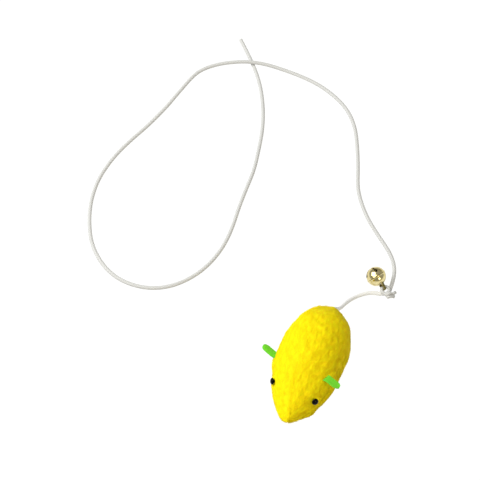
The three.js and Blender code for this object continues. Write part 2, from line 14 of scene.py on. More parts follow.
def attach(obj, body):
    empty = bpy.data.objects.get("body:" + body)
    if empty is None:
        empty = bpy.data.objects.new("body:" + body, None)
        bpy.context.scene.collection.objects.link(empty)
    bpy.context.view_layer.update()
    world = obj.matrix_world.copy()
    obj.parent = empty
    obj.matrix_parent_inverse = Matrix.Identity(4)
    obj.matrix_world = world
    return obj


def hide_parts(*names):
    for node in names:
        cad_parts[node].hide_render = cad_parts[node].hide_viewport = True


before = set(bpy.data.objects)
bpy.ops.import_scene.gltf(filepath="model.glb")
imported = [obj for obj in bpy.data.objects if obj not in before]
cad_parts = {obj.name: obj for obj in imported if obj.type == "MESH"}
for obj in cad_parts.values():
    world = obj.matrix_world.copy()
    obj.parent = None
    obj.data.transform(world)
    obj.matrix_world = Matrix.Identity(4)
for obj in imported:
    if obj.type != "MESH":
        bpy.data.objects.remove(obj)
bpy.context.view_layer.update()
MM = 0.001

# %% [markdown]
# ## The camera
# The photograph looks down on the table from about 60 degrees, a little from the mouse's left, through a long lens.
# The camera is placed by its three own axes, so that nothing has to aim it.

# %% Camera
CAMERA_AZIMUTH, CAMERA_ELEVATION = np.radians(22.0), np.radians(60.0)
CAMERA_PLACE = (59.09, -231.71, 536.94)
LENS = 92.5
NEAREST, FARTHEST = 0.05, 20.0


def posed(rightward, upward, backward, place):
    """The matrix of a camera or light, from its three own axes and its place in metres."""
    matrix = np.eye(4)
    matrix[:3, :3] = np.stack([rightward, upward, backward], 1)
    matrix[:3, 3] = place
    return Matrix(matrix.tolist())


backwards = np.array([
    np.sin(CAMERA_AZIMUTH) * np.cos(CAMERA_ELEVATION),
    -np.cos(CAMERA_AZIMUTH) * np.cos(CAMERA_ELEVATION),
    np.sin(CAMERA_ELEVATION),
])
rightwards = np.array([np.cos(CAMERA_AZIMUTH), np.sin(CAMERA_AZIMUTH), 0.0])
upwards = np.cross(backwards, rightwards)
camera = bpy.data.objects.new("camera", bpy.data.cameras.new("camera"))
camera.data.lens = LENS
camera.data.clip_start, camera.data.clip_end = NEAREST, FARTHEST
camera.matrix_world = posed(rightwards, upwards, backwards, np.array(CAMERA_PLACE) * MM)
bpy.context.scene.collection.objects.link(camera)
bpy.context.scene.camera = camera
print("camera at", [round(x, 3) for x in camera.location])

# %% [markdown]
# ## Surfaces from grids
# Nearly every piece here is a grid of points: rows along the piece, columns across or round it. A grid becomes
# faces by joining each point to its neighbours. Where a grid closes on itself its first and last column lie on each
# other, and are merged afterwards, so that the pattern coordinates need no jump.

# %% Vector tools
TINY = 1e-12


def length_of(vectors):
    """Length of each vector."""
    return np.linalg.norm(vectors, axis=-1)


def unit(vectors):
    """Each vector divided by its own length."""
    return vectors / np.maximum(length_of(vectors)[..., None], TINY)


def circle(angle, first, other):
    """Directions round a circle in the plane of two unit directions that stand square to each other."""
    return np.cos(angle)[:, None] * first + np.sin(angle)[:, None] * other


def bulge(values, power):
    """Each value's size raised to a power, with its sign kept. It makes a circle's cosine and sine into those of a
    squarer loop, the more so the lower the power."""
    return np.sign(values) * np.abs(values) ** power


def fall_off(distance, spread):
    """Bell curve: 1 at no distance, and nearly nothing past two spreads."""
    return np.exp(-((distance / spread) ** 2))


def bells(distance, strength, rows):
    """Sum of bell curves of a distance. A row is a curve's height, which strength multiplies, place and spread."""
    return sum(height * strength * fall_off(distance - place, spread) for height, place, spread in rows)


def cubic(held, k, w):
    """A smooth curve between entries k + 1 and k + 2 of a list, at share w of the way: the cubic whose slope at
    each of them is that of the line between its two neighbours."""
    a, b, c, d = held[k], held[k + 1], held[k + 2], held[k + 3]
    return b + 0.5 * w * (c - a + w * (2 * a - 5 * b + 4 * c - d + w * (3 * (b - c) + d - a)))


def arc(radius, turn):
    """Points in a plane at some angles of a circle about its middle."""
    return np.stack([radius * np.cos(turn), radius * np.sin(turn)], 1)


def run_along(line):
    """Distance along a line to each of its points: the running sum of its steps."""
    return np.concatenate([[0], np.cumsum(length_of(np.diff(line, axis=0)))])


# %% Mesh tools
MERGE_DISTANCE = 1e-6


def cells(rows, columns):
    """The four corner numbers of every cell of a grid of points."""
    corner = np.arange(rows - 1)[:, None] * columns + np.arange(columns - 1)[None, :]
    return np.stack([corner, corner + 1, corner + columns + 1, corner + columns], -1).reshape(-1, 4)


def volume(points, faces):
    """Volume inside a closed mesh: the sum of the prisms that its faces make with the origin."""
    a, b, c = points[faces[:, 0]], points[faces[:, 1]], points[faces[:, 2]]
    total = np.einsum("ij,ij->i", a, np.cross(b, c)).sum()
    if faces.shape[1] == 4:
        d = points[faces[:, 3]]
        total += np.einsum("ij,ij->i", a, np.cross(c, d)).sum()
    return total / 6


def grid(points, uv=None, **values):
    """A sheet of four-sided faces from a grid of points, with pattern coordinates and values at its points."""
    rows, columns = points.shape[:2]
    return {
        "points": points.reshape(-1, 3),
        "faces": cells(rows, columns),
        "uv": np.zeros((rows * columns, 2)) if uv is None else uv.reshape(-1, 2),
        "values": {key: np.broadcast_to(value, (rows, columns)).reshape(-1) for key, value in values.items()},
    }


def join(parts):
    """Several sheets as one: their lists follow each other, and each sheet's faces count on from the last."""
    starts = np.cumsum([0] + [len(part["points"]) for part in parts[:-1]])
    return {
        "points": np.concatenate([part["points"] for part in parts]),
        "faces": np.concatenate([part["faces"] + start for part, start in zip(parts, starts)]),
        "uv": np.concatenate([part["uv"] for part in parts]),
        "values": {key: np.concatenate([part["values"][key] for part in parts]) for key in parts[0]["values"]},
    }


def mesh_object(name, sheet, merge=True):
    """A smooth mesh object whose faces point out. Points that lie on each other are merged."""
    points, faces = sheet["points"], sheet["faces"]
    if volume(points, faces) < 0:
        faces = faces[:, ::-1]
    mesh = bpy.data.meshes.new(name)
    mesh.vertices.add(len(points))
    mesh.vertices.foreach_set("co", (points * MM).astype(np.float32).ravel())
    mesh.loops.add(faces.size)
    mesh.loops.foreach_set("vertex_index", faces.astype(np.int32).ravel())
    mesh.polygons.add(len(faces))
    mesh.polygons.foreach_set("loop_start", np.arange(0, faces.size, faces.shape[1], dtype=np.int32))
    mesh.polygons.foreach_set("use_smooth", np.ones(len(faces), bool))
    layer = mesh.uv_layers.new(name="pattern")
    layer.data.foreach_set("uv", sheet["uv"][faces.ravel()].astype(np.float32).ravel())
    for key, value in sheet["values"].items():
        mesh.attributes.new(key, "FLOAT", "POINT").data.foreach_set("value", value.astype(np.float32))
    mesh.update(calc_edges=True)
    if merge:
        work = bmesh.new()
        work.from_mesh(mesh)
        bmesh.ops.remove_doubles(work, verts=work.verts, dist=MERGE_DISTANCE)
        work.to_mesh(mesh)
        work.free()
    thing = bpy.data.objects.new(name, mesh)
    bpy.context.scene.collection.objects.link(thing)
    print(name, len(mesh.polygons), "faces")
    return thing


def dress(thing, body, slot, material, *nodes):
    """Gives a piece its body and its finish, and hides the imported nodes that it stands for. The slot is not used.
    """
    thing.data.materials.clear()
    thing.data.materials.append(material)
    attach(thing, body)
    if nodes:
        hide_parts(*nodes)


# %% [markdown]
# ## Finishes from nodes
# Colours are written as they look on a screen and turned into the linear values that light is reckoned in. One
# function adds any shader node, with its options, the values of its sockets and its links.

# %% Node tools
def colour(code):
    """Linear colour of a hex code: each channel is undone by the screen's own curve."""
    screen = np.array([int(code[k:k + 2], 16) for k in (1, 3, 5)]) / 255
    linear = np.where(screen <= 0.04045, screen / 12.92, ((screen + 0.055) / 1.055) ** 2.4)
    return (*linear.tolist(), 1.0)


def add(material, kind, values=None, links=None, stops=None, **options):
    """Adds one shader node. Options are its own settings, values fill its sockets, links join sockets to the
    outputs of earlier nodes, and stops are the places and colours of a ramp."""
    node = material.node_tree.nodes.new("ShaderNode" + kind)
    for key, value in options.items():
        setattr(node, key, value)
    for key, value in (values or {}).items():
        node.inputs[key].default_value = value
    for key, output in (links or {}).items():
        material.node_tree.links.new(output, node.inputs[key])
    for k, (place, code) in enumerate(stops or []):
        if k >= len(node.color_ramp.elements):
            node.color_ramp.elements.new(place)
        node.color_ramp.elements[k].position = place
        node.color_ramp.elements[k].color = colour(code)
    return node


def empty_material(name):
    """A material with no nodes yet."""
    material = bpy.data.materials.new(name)
    material.use_nodes = True
    material.node_tree.nodes.clear()
    return material


# %% [markdown]
# ## The cords
# The tail cord and the long cord are round elastic: a rubber core in a braided white cover, 2 mm thick. The
# long one lies on the table, lifts where it crosses its own end, and ends in a plain cut. A cord is a tube carried
# along a smooth line through points. They were picked by hand in the photograph, and the long cord's were then moved
# onto its middle there by a script. The braid is real relief, a diamond lattice of bumps where yarns cross.

# %% Routes
BODY_LENGTH = 60.0
TAIL_END = np.array([0.0, BODY_LENGTH / 2, 0.0])
TAIL_HEIGHT = 12.15
TAIL_HOLE = TAIL_END + [0, 0, TAIL_HEIGHT]
CORD_RADIUS = 1.0
CORD_SPACING, TAIL_SOFTNESS, ELASTIC_SOFTNESS = 0.22, 1.2, 2.5
SPAN_STEPS = 80
TAIL_ROUTE = [
    (0, -6.0, 12.15), (0, -1.6, 12.15), (0, 0.3, 12.15), (1.05, 1.8, 10.6), (3, 3.8, 8.1), (4.2, 8.4, 5.2),
    (5.7, 12.9, 2.8), (7.3, 15.9, 1.55), (9.2, 18.1, 1.1), (12.2, 20.6, 1.03), (15.4, 22, 1.03), (17, 22.35, 1.06),
    (18.45, 22.55, 1.18),
]
ELASTIC_ROUTE = [
    (21.85, 25.1, 1.19), (21.95, 27.4, 1.06), (21.8, 30.5, 1.03), (21.3, 35, 1.03), (19.5, 40.3, 1.03),
    (15, 46.4, 1.03), (7.6, 52.8, 1.03), (-1.2, 60.8, 1.03), (-8.4, 69.9, 1.03), (-12.6, 77.6, 1.03),
    (-16.2, 88.2, 1.03), (-20.6, 99.7, 1.03), (-25.7, 110.7, 1.03), (-32, 119.1, 1.03), (-40, 125.2, 1.03),
    (-51, 130.1, 1.03), (-62, 132.4, 1.12), (-73.9, 133, 1.45), (-84.8, 132.1, 2.49), (-93.9, 129.4, 3.66),
    (-101.9, 125.6, 3.92), (-110.5, 119.9, 3.79), (-117.2, 111.9, 3.4), (-121, 98, 2.75), (-124, 85.5, 1.97),
    (-128.4, 71.4, 1.32), (-133.1, 58.9, 1.06), (-136.6, 46.3, 1.03), (-138, 32.2, 1.03), (-136.1, 18.7, 1.03),
    (-131.4, 6.3, 1.03), (-124.7, -4.6, 1.03), (-115.8, -12.6, 1.03), (-106.1, -17.2, 1.03),
    (-96.4, -18.2, 1.03), (-87.8, -16.7, 1.03), (-80.1, -12.9, 1.03), (-73.9, -7.2, 1.03), (-68.6, 0.5, 1.03),
    (-65, 9.6, 1.03), (-63.2, 19.7, 1.03), (-63.2, 30.4, 1.03), (-64.4, 42, 1.03), (-65.2, 54, 1.03),
    (-65.8, 66, 1.03), (-67.9, 78, 1.03), (-71.1, 92, 1.03), (-75.5, 104.3, 1.03), (-81.1, 115.6, 1.03),
    (-87, 124.6, 1.03), (-92.6, 131.4, 1.03), (-97.9, 137.2, 1.03), (-104.3, 143.9, 1.03),
]


def line_through(points, spacing, softness=0.0):
    """A smooth line through points: each span is a cubic of its four nearest points, cut at even distances.
    Softness, in millimetres, then evens out the bends by a running mean with bell-shaped weights."""
    points = np.asarray(points, float)
    held = np.vstack([2 * points[0] - points[1], points, 2 * points[-1] - points[-2]])
    share = np.linspace(0, len(points) - 1, SPAN_STEPS * (len(points) - 1) + 1)
    k = np.minimum(share.astype(int), len(points) - 2)
    dense = cubic(held, k, (share - k)[:, None])
    along = run_along(dense)
    even = np.linspace(0, along[-1], int(round(along[-1] / spacing)) + 1)
    line = np.stack([np.interp(even, along, dense[:, axis]) for axis in range(3)], 1)
    if softness:
        reach = int(3 * softness / spacing)
        weights = np.exp(-0.5 * (np.arange(-reach, reach + 1) * spacing / softness) ** 2)
        before = 2 * line[0] - line[reach:0:-1]
        after = 2 * line[-1] - line[-2:-reach - 2:-1]
        longer = np.vstack([before, line, after])
        line = np.stack([np.convolve(longer[:, k], weights / weights.sum(), "valid") for k in range(3)], 1)
    return line


tail_line = line_through(np.array(TAIL_ROUTE) + TAIL_END, CORD_SPACING, TAIL_SOFTNESS)
elastic_line = line_through(np.array(ELASTIC_ROUTE) + TAIL_END, CORD_SPACING, ELASTIC_SOFTNESS)

# %% Braided tubes
YARN_PAIRS = 6
BRAID_CELL = 1.4
BRAID_RELIEF = 0.07
CORD_SIDES = 24
RING_HINT = [0.13, 0.05, 1.0]
cap_radius_shares = [0.0, 0.6, 0.85, 0.97]
cap_push_shares = [0.27, 0.25, 0.2, 0.12]


def braid(angle, along):
    """Height of the braid, 0 to 1: two sets of yarns wind opposite ways, and the sum of their waves has a bump
    wherever both crest, which is the diamond lattice of a braid."""
    one = np.cos(YARN_PAIRS * angle + 2 * np.pi * along / BRAID_CELL)
    other = np.cos(YARN_PAIRS * angle - 2 * np.pi * along / BRAID_CELL)
    return 0.5 + 0.25 * (one + other)


def carried(ahead, first):
    """A direction across the line at each of its points: the first one is carried on, and each step only takes out
    the part of it that points ahead, so that the ring never twists by itself."""
    across = []
    for direction in ahead:
        first = first - (first @ direction) * direction
        first = unit(first)
        across.append(first)
    return np.array(across)


def tube(line, radius, sides=CORD_SIDES):
    """The grid of a braided tube: at each point of the line a ring in the plane across it. Rings that shrink round
    off both ends."""
    k = np.pad(np.arange(len(line)), len(cap_radius_shares), mode="edge")
    shrink = np.concatenate([cap_radius_shares, np.ones(len(line)), cap_radius_shares[::-1]])
    push = np.concatenate([-np.array(cap_push_shares), np.zeros(len(line)), cap_push_shares[::-1]]) * radius
    ahead = unit(np.gradient(line, axis=0))[k]
    along = run_along(line)[k] + push
    level = carried(ahead, np.cross(ahead[0], RING_HINT))
    angle = np.linspace(0, 2 * np.pi, sides + 1)
    height = braid(angle[None, :], along[:, None])
    reach = (radius * shrink[:, None] - BRAID_RELIEF * (1 - height) * shrink[:, None])[..., None]
    ring = circle(angle, level[:, None], np.cross(level, ahead)[:, None])
    points = (line[k] + push[:, None] * ahead)[:, None] + reach * ring
    points[:, -1], height[:, -1] = points[:, 0], height[:, 0]
    uv = np.stack(np.broadcast_arrays(angle * radius, along[:, None]), -1)
    return grid(points, uv=uv, height=height)


tail = mesh_object("tail", tube(tail_line, CORD_RADIUS))
elastic = mesh_object("elastic", tube(elastic_line, CORD_RADIUS))

# %% [markdown]
# ## The knot
# Both cords end in one hard knot. Each winds once round the lump, beside the other, and sticks out as a short cut
# end. Between them a bight, a doubled-back strand, passes through the bell's loop. The knot is planned in its own
# frame: x from the bell's loop to the knot, y along the strand in the loop. Two strands that wind as a double
# helix, drawn tight, look like the real lump and stay simple to write down.

# %% Knot
LOOP_PLACE = np.array([18.6, 55.7, 2.7])
BELL_HEADING = np.radians(-32.7)
KNOT_CENTRE = np.array([4.4, -0.3, -0.1])
KNOT_STRAND, KNOT_TURN = 0.8, 1.15
KNOT_SPACING, KNOT_SOFTNESS, KNOT_SIDES = 0.16, 0.25, 20
# The lead-in of each cord: how many points from its knotted end it starts, and its step in points
TAIL_LEAD, ELASTIC_LEAD, LEAD_STEP = 12, 10, 5
# How much darker the cut ends are painted, as shade, and how far that reaches
CUT_END_PAINTED_SHADE, CUT_REACH = 0.8, 1.6

knot_axes = np.array([
    [np.cos(BELL_HEADING), np.sin(BELL_HEADING), 0.0],
    [-np.sin(BELL_HEADING), np.cos(BELL_HEADING), 0.0],
    [0.0, 0.0, 1.0],
])


def from_knot(points):
    """Points of the knot's frame in the row's frame."""
    return np.asarray(points, float) @ knot_axes + LOOP_PLACE


def to_knot(points):
    """Points of the row's frame in the knot's frame."""
    return (np.asarray(points, float) - LOOP_PLACE) @ knot_axes.T


def winding(first_angle, turns, first_x, last_x, count=9):
    """Points of a strand that winds about the knot's long axis while it moves along it."""
    share = np.linspace(0, 1, count)
    angle = first_angle + turns * 2 * np.pi * share
    return np.stack([
        first_x + (last_x - first_x) * share,
        KNOT_TURN * np.cos(angle),
        KNOT_TURN * np.sin(angle),
    ], 1) + KNOT_CENTRE


tail_strand = np.vstack([
    to_knot(tail_line[-TAIL_LEAD::LEAD_STEP]),
    winding(first_angle=np.radians(215), turns=-1.15, first_x=-1.2, last_x=1.2),
    KNOT_CENTRE + [[1.9, 1.05, -0.3], [2.6, 1.7, -0.5]],
])
elastic_strand = np.vstack([
    to_knot(elastic_line[ELASTIC_LEAD::-LEAD_STEP]),
    winding(first_angle=np.radians(-35), turns=-1.0, first_x=-1.3, last_x=1.05),
    KNOT_CENTRE + [[1.1, 2.4, 0.15], [1.15, 3.5, 0.2]],
])
bight_strand = np.array([
    [4.0, -1.3, -0.3], [2.9, -1.55, -0.15], [1.9, -1.85, 0], [0.85, -1.75, 0], [0, -0.8, 0], [0, 0, 0],
    [0, 0.8, 0], [0.85, 1.75, 0], [1.9, 1.85, 0], [2.9, 1.3, -0.15], [3.9, 0.65, -0.3],
])
strands = [from_knot(strand) for strand in (tail_strand, elastic_strand, bight_strand)]
strands = [line_through(strand, KNOT_SPACING, KNOT_SOFTNESS) for strand in strands]
knot_sheet = join([tube(strand, KNOT_STRAND, KNOT_SIDES) for strand in strands])
# Painted shade: near the two cut ends the braid's height value is lowered, so they take the darker valley colour.
cut_ends = np.array([strand[-1] for strand in strands[:2]])
to_cut = length_of(knot_sheet["points"][:, None] - cut_ends).min(1)
knot_sheet["values"]["height"] *= 1 - CUT_END_PAINTED_SHADE * fall_off(to_cut, CUT_REACH)
knot = mesh_object("knot", knot_sheet)

# %% [markdown]
# ## The body's shape
# The body is a stuffed bag: narrow at the nose, widest at two thirds, and flat below where its weight presses it on
# the table. Thirteen shares along it say how wide each cross-section is and how high its top and bottom lie, and
# a rounded curve joins them. A point of the surface then has two numbers: how far it is along, and an angle round.

# %% Body surface
BODY_WIDTH, BODY_HEIGHT, FLAT_DEPTH = 32.0, 27.0, 0.5
half_width_shares = [0, 0.18, 0.335, 0.545, 0.775, 0.93, 0.985, 1, 0.95, 0.81, 0.6, 0.32, 0]
top_shares = [0.31, 0.375, 0.46, 0.58, 0.725, 0.87, 0.965, 1, 0.965, 0.875, 0.735, 0.59, 0.46]
bottom_shares = [0.31, 0.235, 0.155, 0.08, 0.03, 0.005, 0, 0, 0.01, 0.055, 0.15, 0.3, 0.46]
WIDEST_SHARE = 0.45
UPPER_ROUNDNESS, LOWER_ROUNDNESS = 2.1, 2.5
ROLL = np.radians(9.0)
BACK = np.radians(90.0) + ROLL
SMALL_STEP = 1e-3


def smooth_share(shares, before, after, along):
    """Value of a list of shares at places along it from 0 to 1, with one entry more before it and one after."""
    step = np.asarray(along, float) * (len(shares) - 1)
    k = np.clip(step.astype(int), 0, len(shares) - 2)
    return cubic(np.array([before, *shares, after], float), k, step - k)


def body_point(along, angle):
    """Point of the smooth body: along runs from nose to tail, angle counts from the left-right axis over the top.
    Across, the point follows a rounded curve between the section's top, bottom and widest height."""
    along, angle = np.broadcast_arrays(np.asarray(along, float), np.asarray(angle, float))
    width = smooth_share(half_width_shares, -half_width_shares[1], -half_width_shares[-2], along)
    top = smooth_share(top_shares, bottom_shares[1], bottom_shares[-2], along)
    bottom = smooth_share(bottom_shares, top_shares[1], top_shares[-2], along)
    widest = bottom + (top - bottom) * WIDEST_SHARE
    upper = np.sin(angle) >= 0
    power = 2 / np.where(upper, UPPER_ROUNDNESS, LOWER_ROUNDNESS)
    reach = np.where(upper, top - widest, widest - bottom)
    x = BODY_WIDTH / 2 * width * bulge(np.cos(angle), power)
    z = widest + reach * bulge(np.sin(angle), power)
    y = -BODY_LENGTH / 2 * np.cos(along * np.pi)
    return np.stack([x, y, z * (BODY_HEIGHT + FLAT_DEPTH) - FLAT_DEPTH], -1)


def body_outward(along, angle):
    """Direction out of the surface: square to a small step along it and a small step round it."""
    inside = np.clip(along, 2 * SMALL_STEP, 1 - 2 * SMALL_STEP)
    tailward = unit(body_point(inside + SMALL_STEP, angle) - body_point(inside - SMALL_STEP, angle))
    round_it = unit(body_point(inside, angle + SMALL_STEP) - body_point(inside, angle - SMALL_STEP))
    return unit(np.cross(tailward, round_it))


# %% [markdown]
# ## Three panels and their seams
# The cover is sewn from a left, a right and a belly panel. The back seam runs over the ridge from nose to tail. The
# belly seams follow the outline of the belly panel, so each section's seam angle is found by halving a bracket
# until the point there lies on that outline. Sewing draws the cloth in, so near a seam the surface sinks into a
# shallow valley, with soft puckers where each stitch pulls.

# %% Seams
BELLY_LENGTH, BELLY_WIDTH, BELLY_FULLNESS = 50.0, 20.0, 0.6
HALVINGS = 30


def belly_half_width(y):
    """Half the belly panel's width at a place along the body: an oval, a little fuller than an ellipse."""
    inside = np.clip(1 - (2 * y / BELLY_LENGTH) ** 2, 0, 1)
    return BELLY_WIDTH / 2 * inside ** BELLY_FULLNESS


def belly_seam(along, side):
    """Angle of the belly seam on a section, by halving the bracket from the widest left to the widest right."""
    low, high = np.full(along.shape, np.pi), np.full(along.shape, 2 * np.pi)
    for _ in range(HALVINGS):
        middle = (low + high) / 2
        point = body_point(along, middle)
        across = np.cos(ROLL) * point[..., 0] + np.sin(ROLL) * (point[..., 2] - TAIL_HEIGHT)
        beyond = across > side * belly_half_width(point[..., 1])
        low, high = np.where(beyond, low, middle), np.where(beyond, middle, high)
    return (low + high) / 2


def waves(points, seed, shortest, longest, stretch=1.0, count=48):
    """A soft random field between about -1 and 1: many sine waves with random directions, lengths and starts.
    Stretch makes its patches longer along the body than across."""
    draw = np.random.default_rng(seed)
    direction = unit(draw.normal(size=(count, 3))) * [1, 1 / stretch, 1]
    length = draw.uniform(shortest, longest, count)
    start = draw.uniform(0, 2 * np.pi, count)
    flat = points.reshape(-1, 3) @ (2 * np.pi * direction / length[:, None]).T + start
    return (np.sin(flat).sum(1) / np.sqrt(count / 2) / 2).reshape(points.shape[:-1])


def layered(points, seed, layers):
    """Random fields on top of each other. A layer is a height, a shortest and a longest wave and perhaps a stretch,
    and each takes the next seed."""
    return sum(height * waves(points, seed + k, *wave) for k, (height, *wave) in enumerate(layers))


# %% [markdown]
# ## Folds, hollows and nap
# The photograph shows a soft ridge on the muzzle with a groove beside it, a few short creases near the tail, a
# hollow behind the right ear and a fuller left cheek. Each fold is a line between places on the surface with a
# depth and a width, and each swelling is a place with a height and a spread. Both fade like a bell curve.

# %% Folds and swellings
# along, degrees from the back seam towards the left, for each place; then depth and width of the fold
FOLDS = [
    ([(0.21, 19), (0.14, 19), (0.06, 21)], 0.25, 0.85),
    ([(0.24, 4), (0.16, -6), (0.08, -20)], -0.2, 0.9),
    ([(0.79, -16), (0.77, -34)], 0.25, 0.7),
    ([(0.735, -42), (0.725, -70)], 0.3, 0.8),
    ([(0.70, 6), (0.656, -15), (0.605, -38)], 0.2, 1.1),
    ([(0.66, -22), (0.62, -50)], 0.2, 1.2),
    ([(0.86, 30), (0.80, 42)], 0.2, 0.9),
    ([(0.47, -35), (0.44, 5)], 0.15, 1.2),
    ([(0.40, -78), (0.33, -88)], 0.3, 1.2),
    ([(0.43, 84), (0.35, 92)], 0.25, 1.2),
    ([(0.60, 60), (0.54, 82)], 0.2, 1.4),
]
# along, degrees, height, spread
SWELLINGS = [
    (0.31, 84, 0.45, 5.0), (0.50, -84, -0.6, 4.5), (0.68, -80, -0.35, 7.0), (0.33, -46, 0.35, 3.0),
    (0.62, -30, 0.3, 3.0), (0.36, -8, -0.25, 4.0), (0.45, -58, -0.5, 1.3), (0.41, -48, 0.3, 1.5),
    (0.70, 78, -1.8, 6.0), (0.72, -62, 0.9, 9.0), (0.38, -88, 0.7, 6.0), (0.24, 78, 0.8, 5.0),
    (0.92, 60, 1.5, 4.0), (0.45, 80, 1.0, 5.0), (0.25, -100, 1.4, 3.5), (0.50, -84, 0.7, 7.0),
    (0.95, -35, 0.9, 4.0), (0.08, -120, -0.9, 2.4), (0.005, 180, -0.3, 1.8), (0.922, 32, -0.9, 4.6),
    (0.62, -100, 0.55, 5.0), (0.075, -152, 0.75, 2.6), (0.17, 90, 0.35, 4.0),
]


def place(along, degrees):
    """The smooth body's point at a place that is told in degrees from the back seam towards the left."""
    return body_point(np.asarray(along), BACK + np.radians(degrees))


def distance_to(points, line):
    """Distance of each point to the nearest of a line's points."""
    flat = points.reshape(-1, 3)
    nearest = np.full(len(flat), np.inf)
    for spot in line:
        nearest = np.minimum(nearest, ((flat - spot) ** 2).sum(1))
    return np.sqrt(nearest).reshape(points.shape[:-1])


def swelling(points):
    """Height that all the swellings together add at each point."""
    height = np.zeros(points.shape[:-1])
    for along_share, degrees, rise, spread in SWELLINGS:
        height += rise * fall_off(distance_to(points, [place(along_share, degrees)]), spread)
    return height


# %% Relief
PILE_ROOM = 0.45
# Height, place and spread of a seam's valley and of the welts beside it; height, pitch and spread of its puckers
SEAM = [(-0.3, 0, 0.7), (0.1, 1.6, 1.0)]
PUCKER_HEIGHT, PUCKER_PITCH, PUCKER_SPREAD = 0.04, 2.3, 1.8
# How strong the back seam is, and what it gains and the belly seams lose towards the nose
BACK_STRENGTH, BACK_GAIN, BACK_GAIN_SHARE = 0.08, 0.1, 0.16
BELLY_LOSS, BELLY_LOSS_SHARE = 0.8, 0.12
# Points on a fold's line, and the height and place of its groove and of its welt, as shares of its depth and width
FOLD_POINTS, FOLD_SHARES = 14, [(-1, 0), (0.35, 1.9)]
# Layers and seed of the lumps, and how much calmer the muzzle is
LUMPS, LUMP_SEED = [(0.18, 10, 24), (0.07, 4, 8), (0.09, 2, 4, 2.5)], 3
CALM, CALM_SHARE = 0.6, 0.18
# Round the tail hole: how many gathers, and height, place and spread of the gathers and of the rim inside them
GATHERS, GATHER, TAIL_RIM = 9, (0.06, 4, 3), (0.35, 2.2, 1.6)


def relief(along, angle, points):
    """Height of the plush above the smooth body: room for the pile, seam valleys with puckers, faint along the back,
    folds, swellings, lumps and the gathers at the tail."""
    side = np.where(np.cos(angle - ROLL) < 0, -1, 1)
    to_back = length_of(points - body_point(along, np.full_like(angle, BACK)))
    to_belly = length_of(points - body_point(along, belly_seam(along, side)))
    to_seam = np.minimum(to_back, to_belly)
    on_back = BACK_STRENGTH + BACK_GAIN * fall_off(along, BACK_GAIN_SHARE)
    strength = np.where(to_back < to_belly, on_back, 1 - BELLY_LOSS * fall_off(along, BELLY_LOSS_SHARE))
    height = swelling(points) - PILE_ROOM
    height += bells(to_seam, strength, SEAM)
    pucker = np.sin(2 * np.pi * points[..., 1] / PUCKER_PITCH)
    height += PUCKER_HEIGHT * strength * pucker * fall_off(to_seam, PUCKER_SPREAD)
    for places, depth, width in FOLDS:
        spots = np.array(places, float)
        share = np.linspace(0, len(spots) - 1, FOLD_POINTS)
        gap = distance_to(points, place(*(np.interp(share, range(len(spots)), column) for column in spots.T)))
        height += bells(gap, depth, [(rise, at * width, width) for rise, at in FOLD_SHARES])
    height += (1 - CALM * fall_off(along, CALM_SHARE)) * layered(points, LUMP_SEED, LUMPS)
    to_tail = length_of(points - TAIL_HOLE)
    height += bells(to_tail, np.cos(GATHERS * angle), [GATHER]) + bells(to_tail, 1, [TAIL_RIM])
    return height


# %% Panels
PANEL_THICKNESS, PANEL_GAP, LARGEST_TRIM = 1.5, 0.015, 0.2
edge_depth_shares = np.array([0.2, 0.5, 0.8])
FLOOR_GAP, LINING_RISE = 0.02, 0.3
# Of the nap: its layers, and the span that its heights are divided by
NAP, NAP_SPAN = [(0.05, 0.9, 2.0, 3.5), (0.03, 0.5, 0.9, 2.5)], 0.16


def panel(name, first_angle, last_angle, along, columns, seed, open_end):
    """One sewn panel as a closed shell. Each row goes once round the panel's cut edge-on: out along the face, in
    at one seam, back along the lining and out at the other seam. A row of points halfway in closes an open end."""
    edge = len(edge_depth_shares)
    forth, back = np.linspace(0, 1, columns), np.linspace(1, 0, columns)
    share = np.concatenate([forth, np.ones(edge), back, np.zeros(edge + 1)])
    depth = np.concatenate([np.zeros(columns), edge_depth_shares, np.ones(columns), edge_depth_shares[::-1], [0]])
    row_depth = np.tile(depth * PANEL_THICKNESS, (len(along), 1))
    if open_end:
        along, first_angle, last_angle = (np.append(row, row[-1]) for row in (along, first_angle, last_angle))
        row_depth = np.vstack([row_depth, np.full(len(depth), PANEL_THICKNESS / 2)])
    along_grid, share_grid = np.broadcast_arrays(along[:, None], share[None, :])
    width = length_of(body_point(along, last_angle) - body_point(along, first_angle))
    trim = np.clip(PANEL_GAP / np.maximum(width, SMALL_STEP), 0, LARGEST_TRIM)[:, None]
    angle = first_angle[:, None] + (last_angle - first_angle)[:, None] * (trim + (1 - 2 * trim) * share_grid)
    smooth = body_point(along_grid, angle)
    outward = body_outward(along_grid, angle)
    nap = layered(smooth, seed, NAP)
    height = relief(along_grid, angle, smooth) + np.where(row_depth == 0, nap, 0)
    closed = length_of(smooth - smooth[:, :1]).max(1) < SMALL_STEP
    height[closed], outward[closed] = height[closed].mean(), unit(outward[closed].mean(1, keepdims=True))
    points = smooth + outward * (height - row_depth)[..., None]
    points[..., 2] = np.maximum(points[..., 2], FLOOR_GAP + LINING_RISE * row_depth / PANEL_THICKNESS)
    uv = np.stack([BODY_WIDTH * np.pi / 2 * share_grid, BODY_LENGTH * along_grid], -1)
    face = slice(None, len(along) - open_end), slice(None, columns)
    normal = unit(np.cross(np.gradient(points[face], axis=0), np.gradient(points[face], axis=1)))
    normal *= np.sign((normal * outward[face]).sum(-1, keepdims=True))
    return mesh_object(name, grid(points, uv=uv, nap=nap / NAP_SPAN + 0.5)), points[face], normal


TAIL_HOLE_SHARE = 0.979
PANEL_ROWS, PANEL_COLUMNS, BELLY_ROWS, BELLY_COLUMNS = 250, 150, 170, 80
rows = np.linspace(0, TAIL_HOLE_SHARE, PANEL_ROWS)
belly_ends = np.arccos([BELLY_LENGTH / BODY_LENGTH, -BELLY_LENGTH / BODY_LENGTH]) / np.pi
belly_rows = np.linspace(*belly_ends, BELLY_ROWS)
back_seam = np.full_like(rows, BACK)
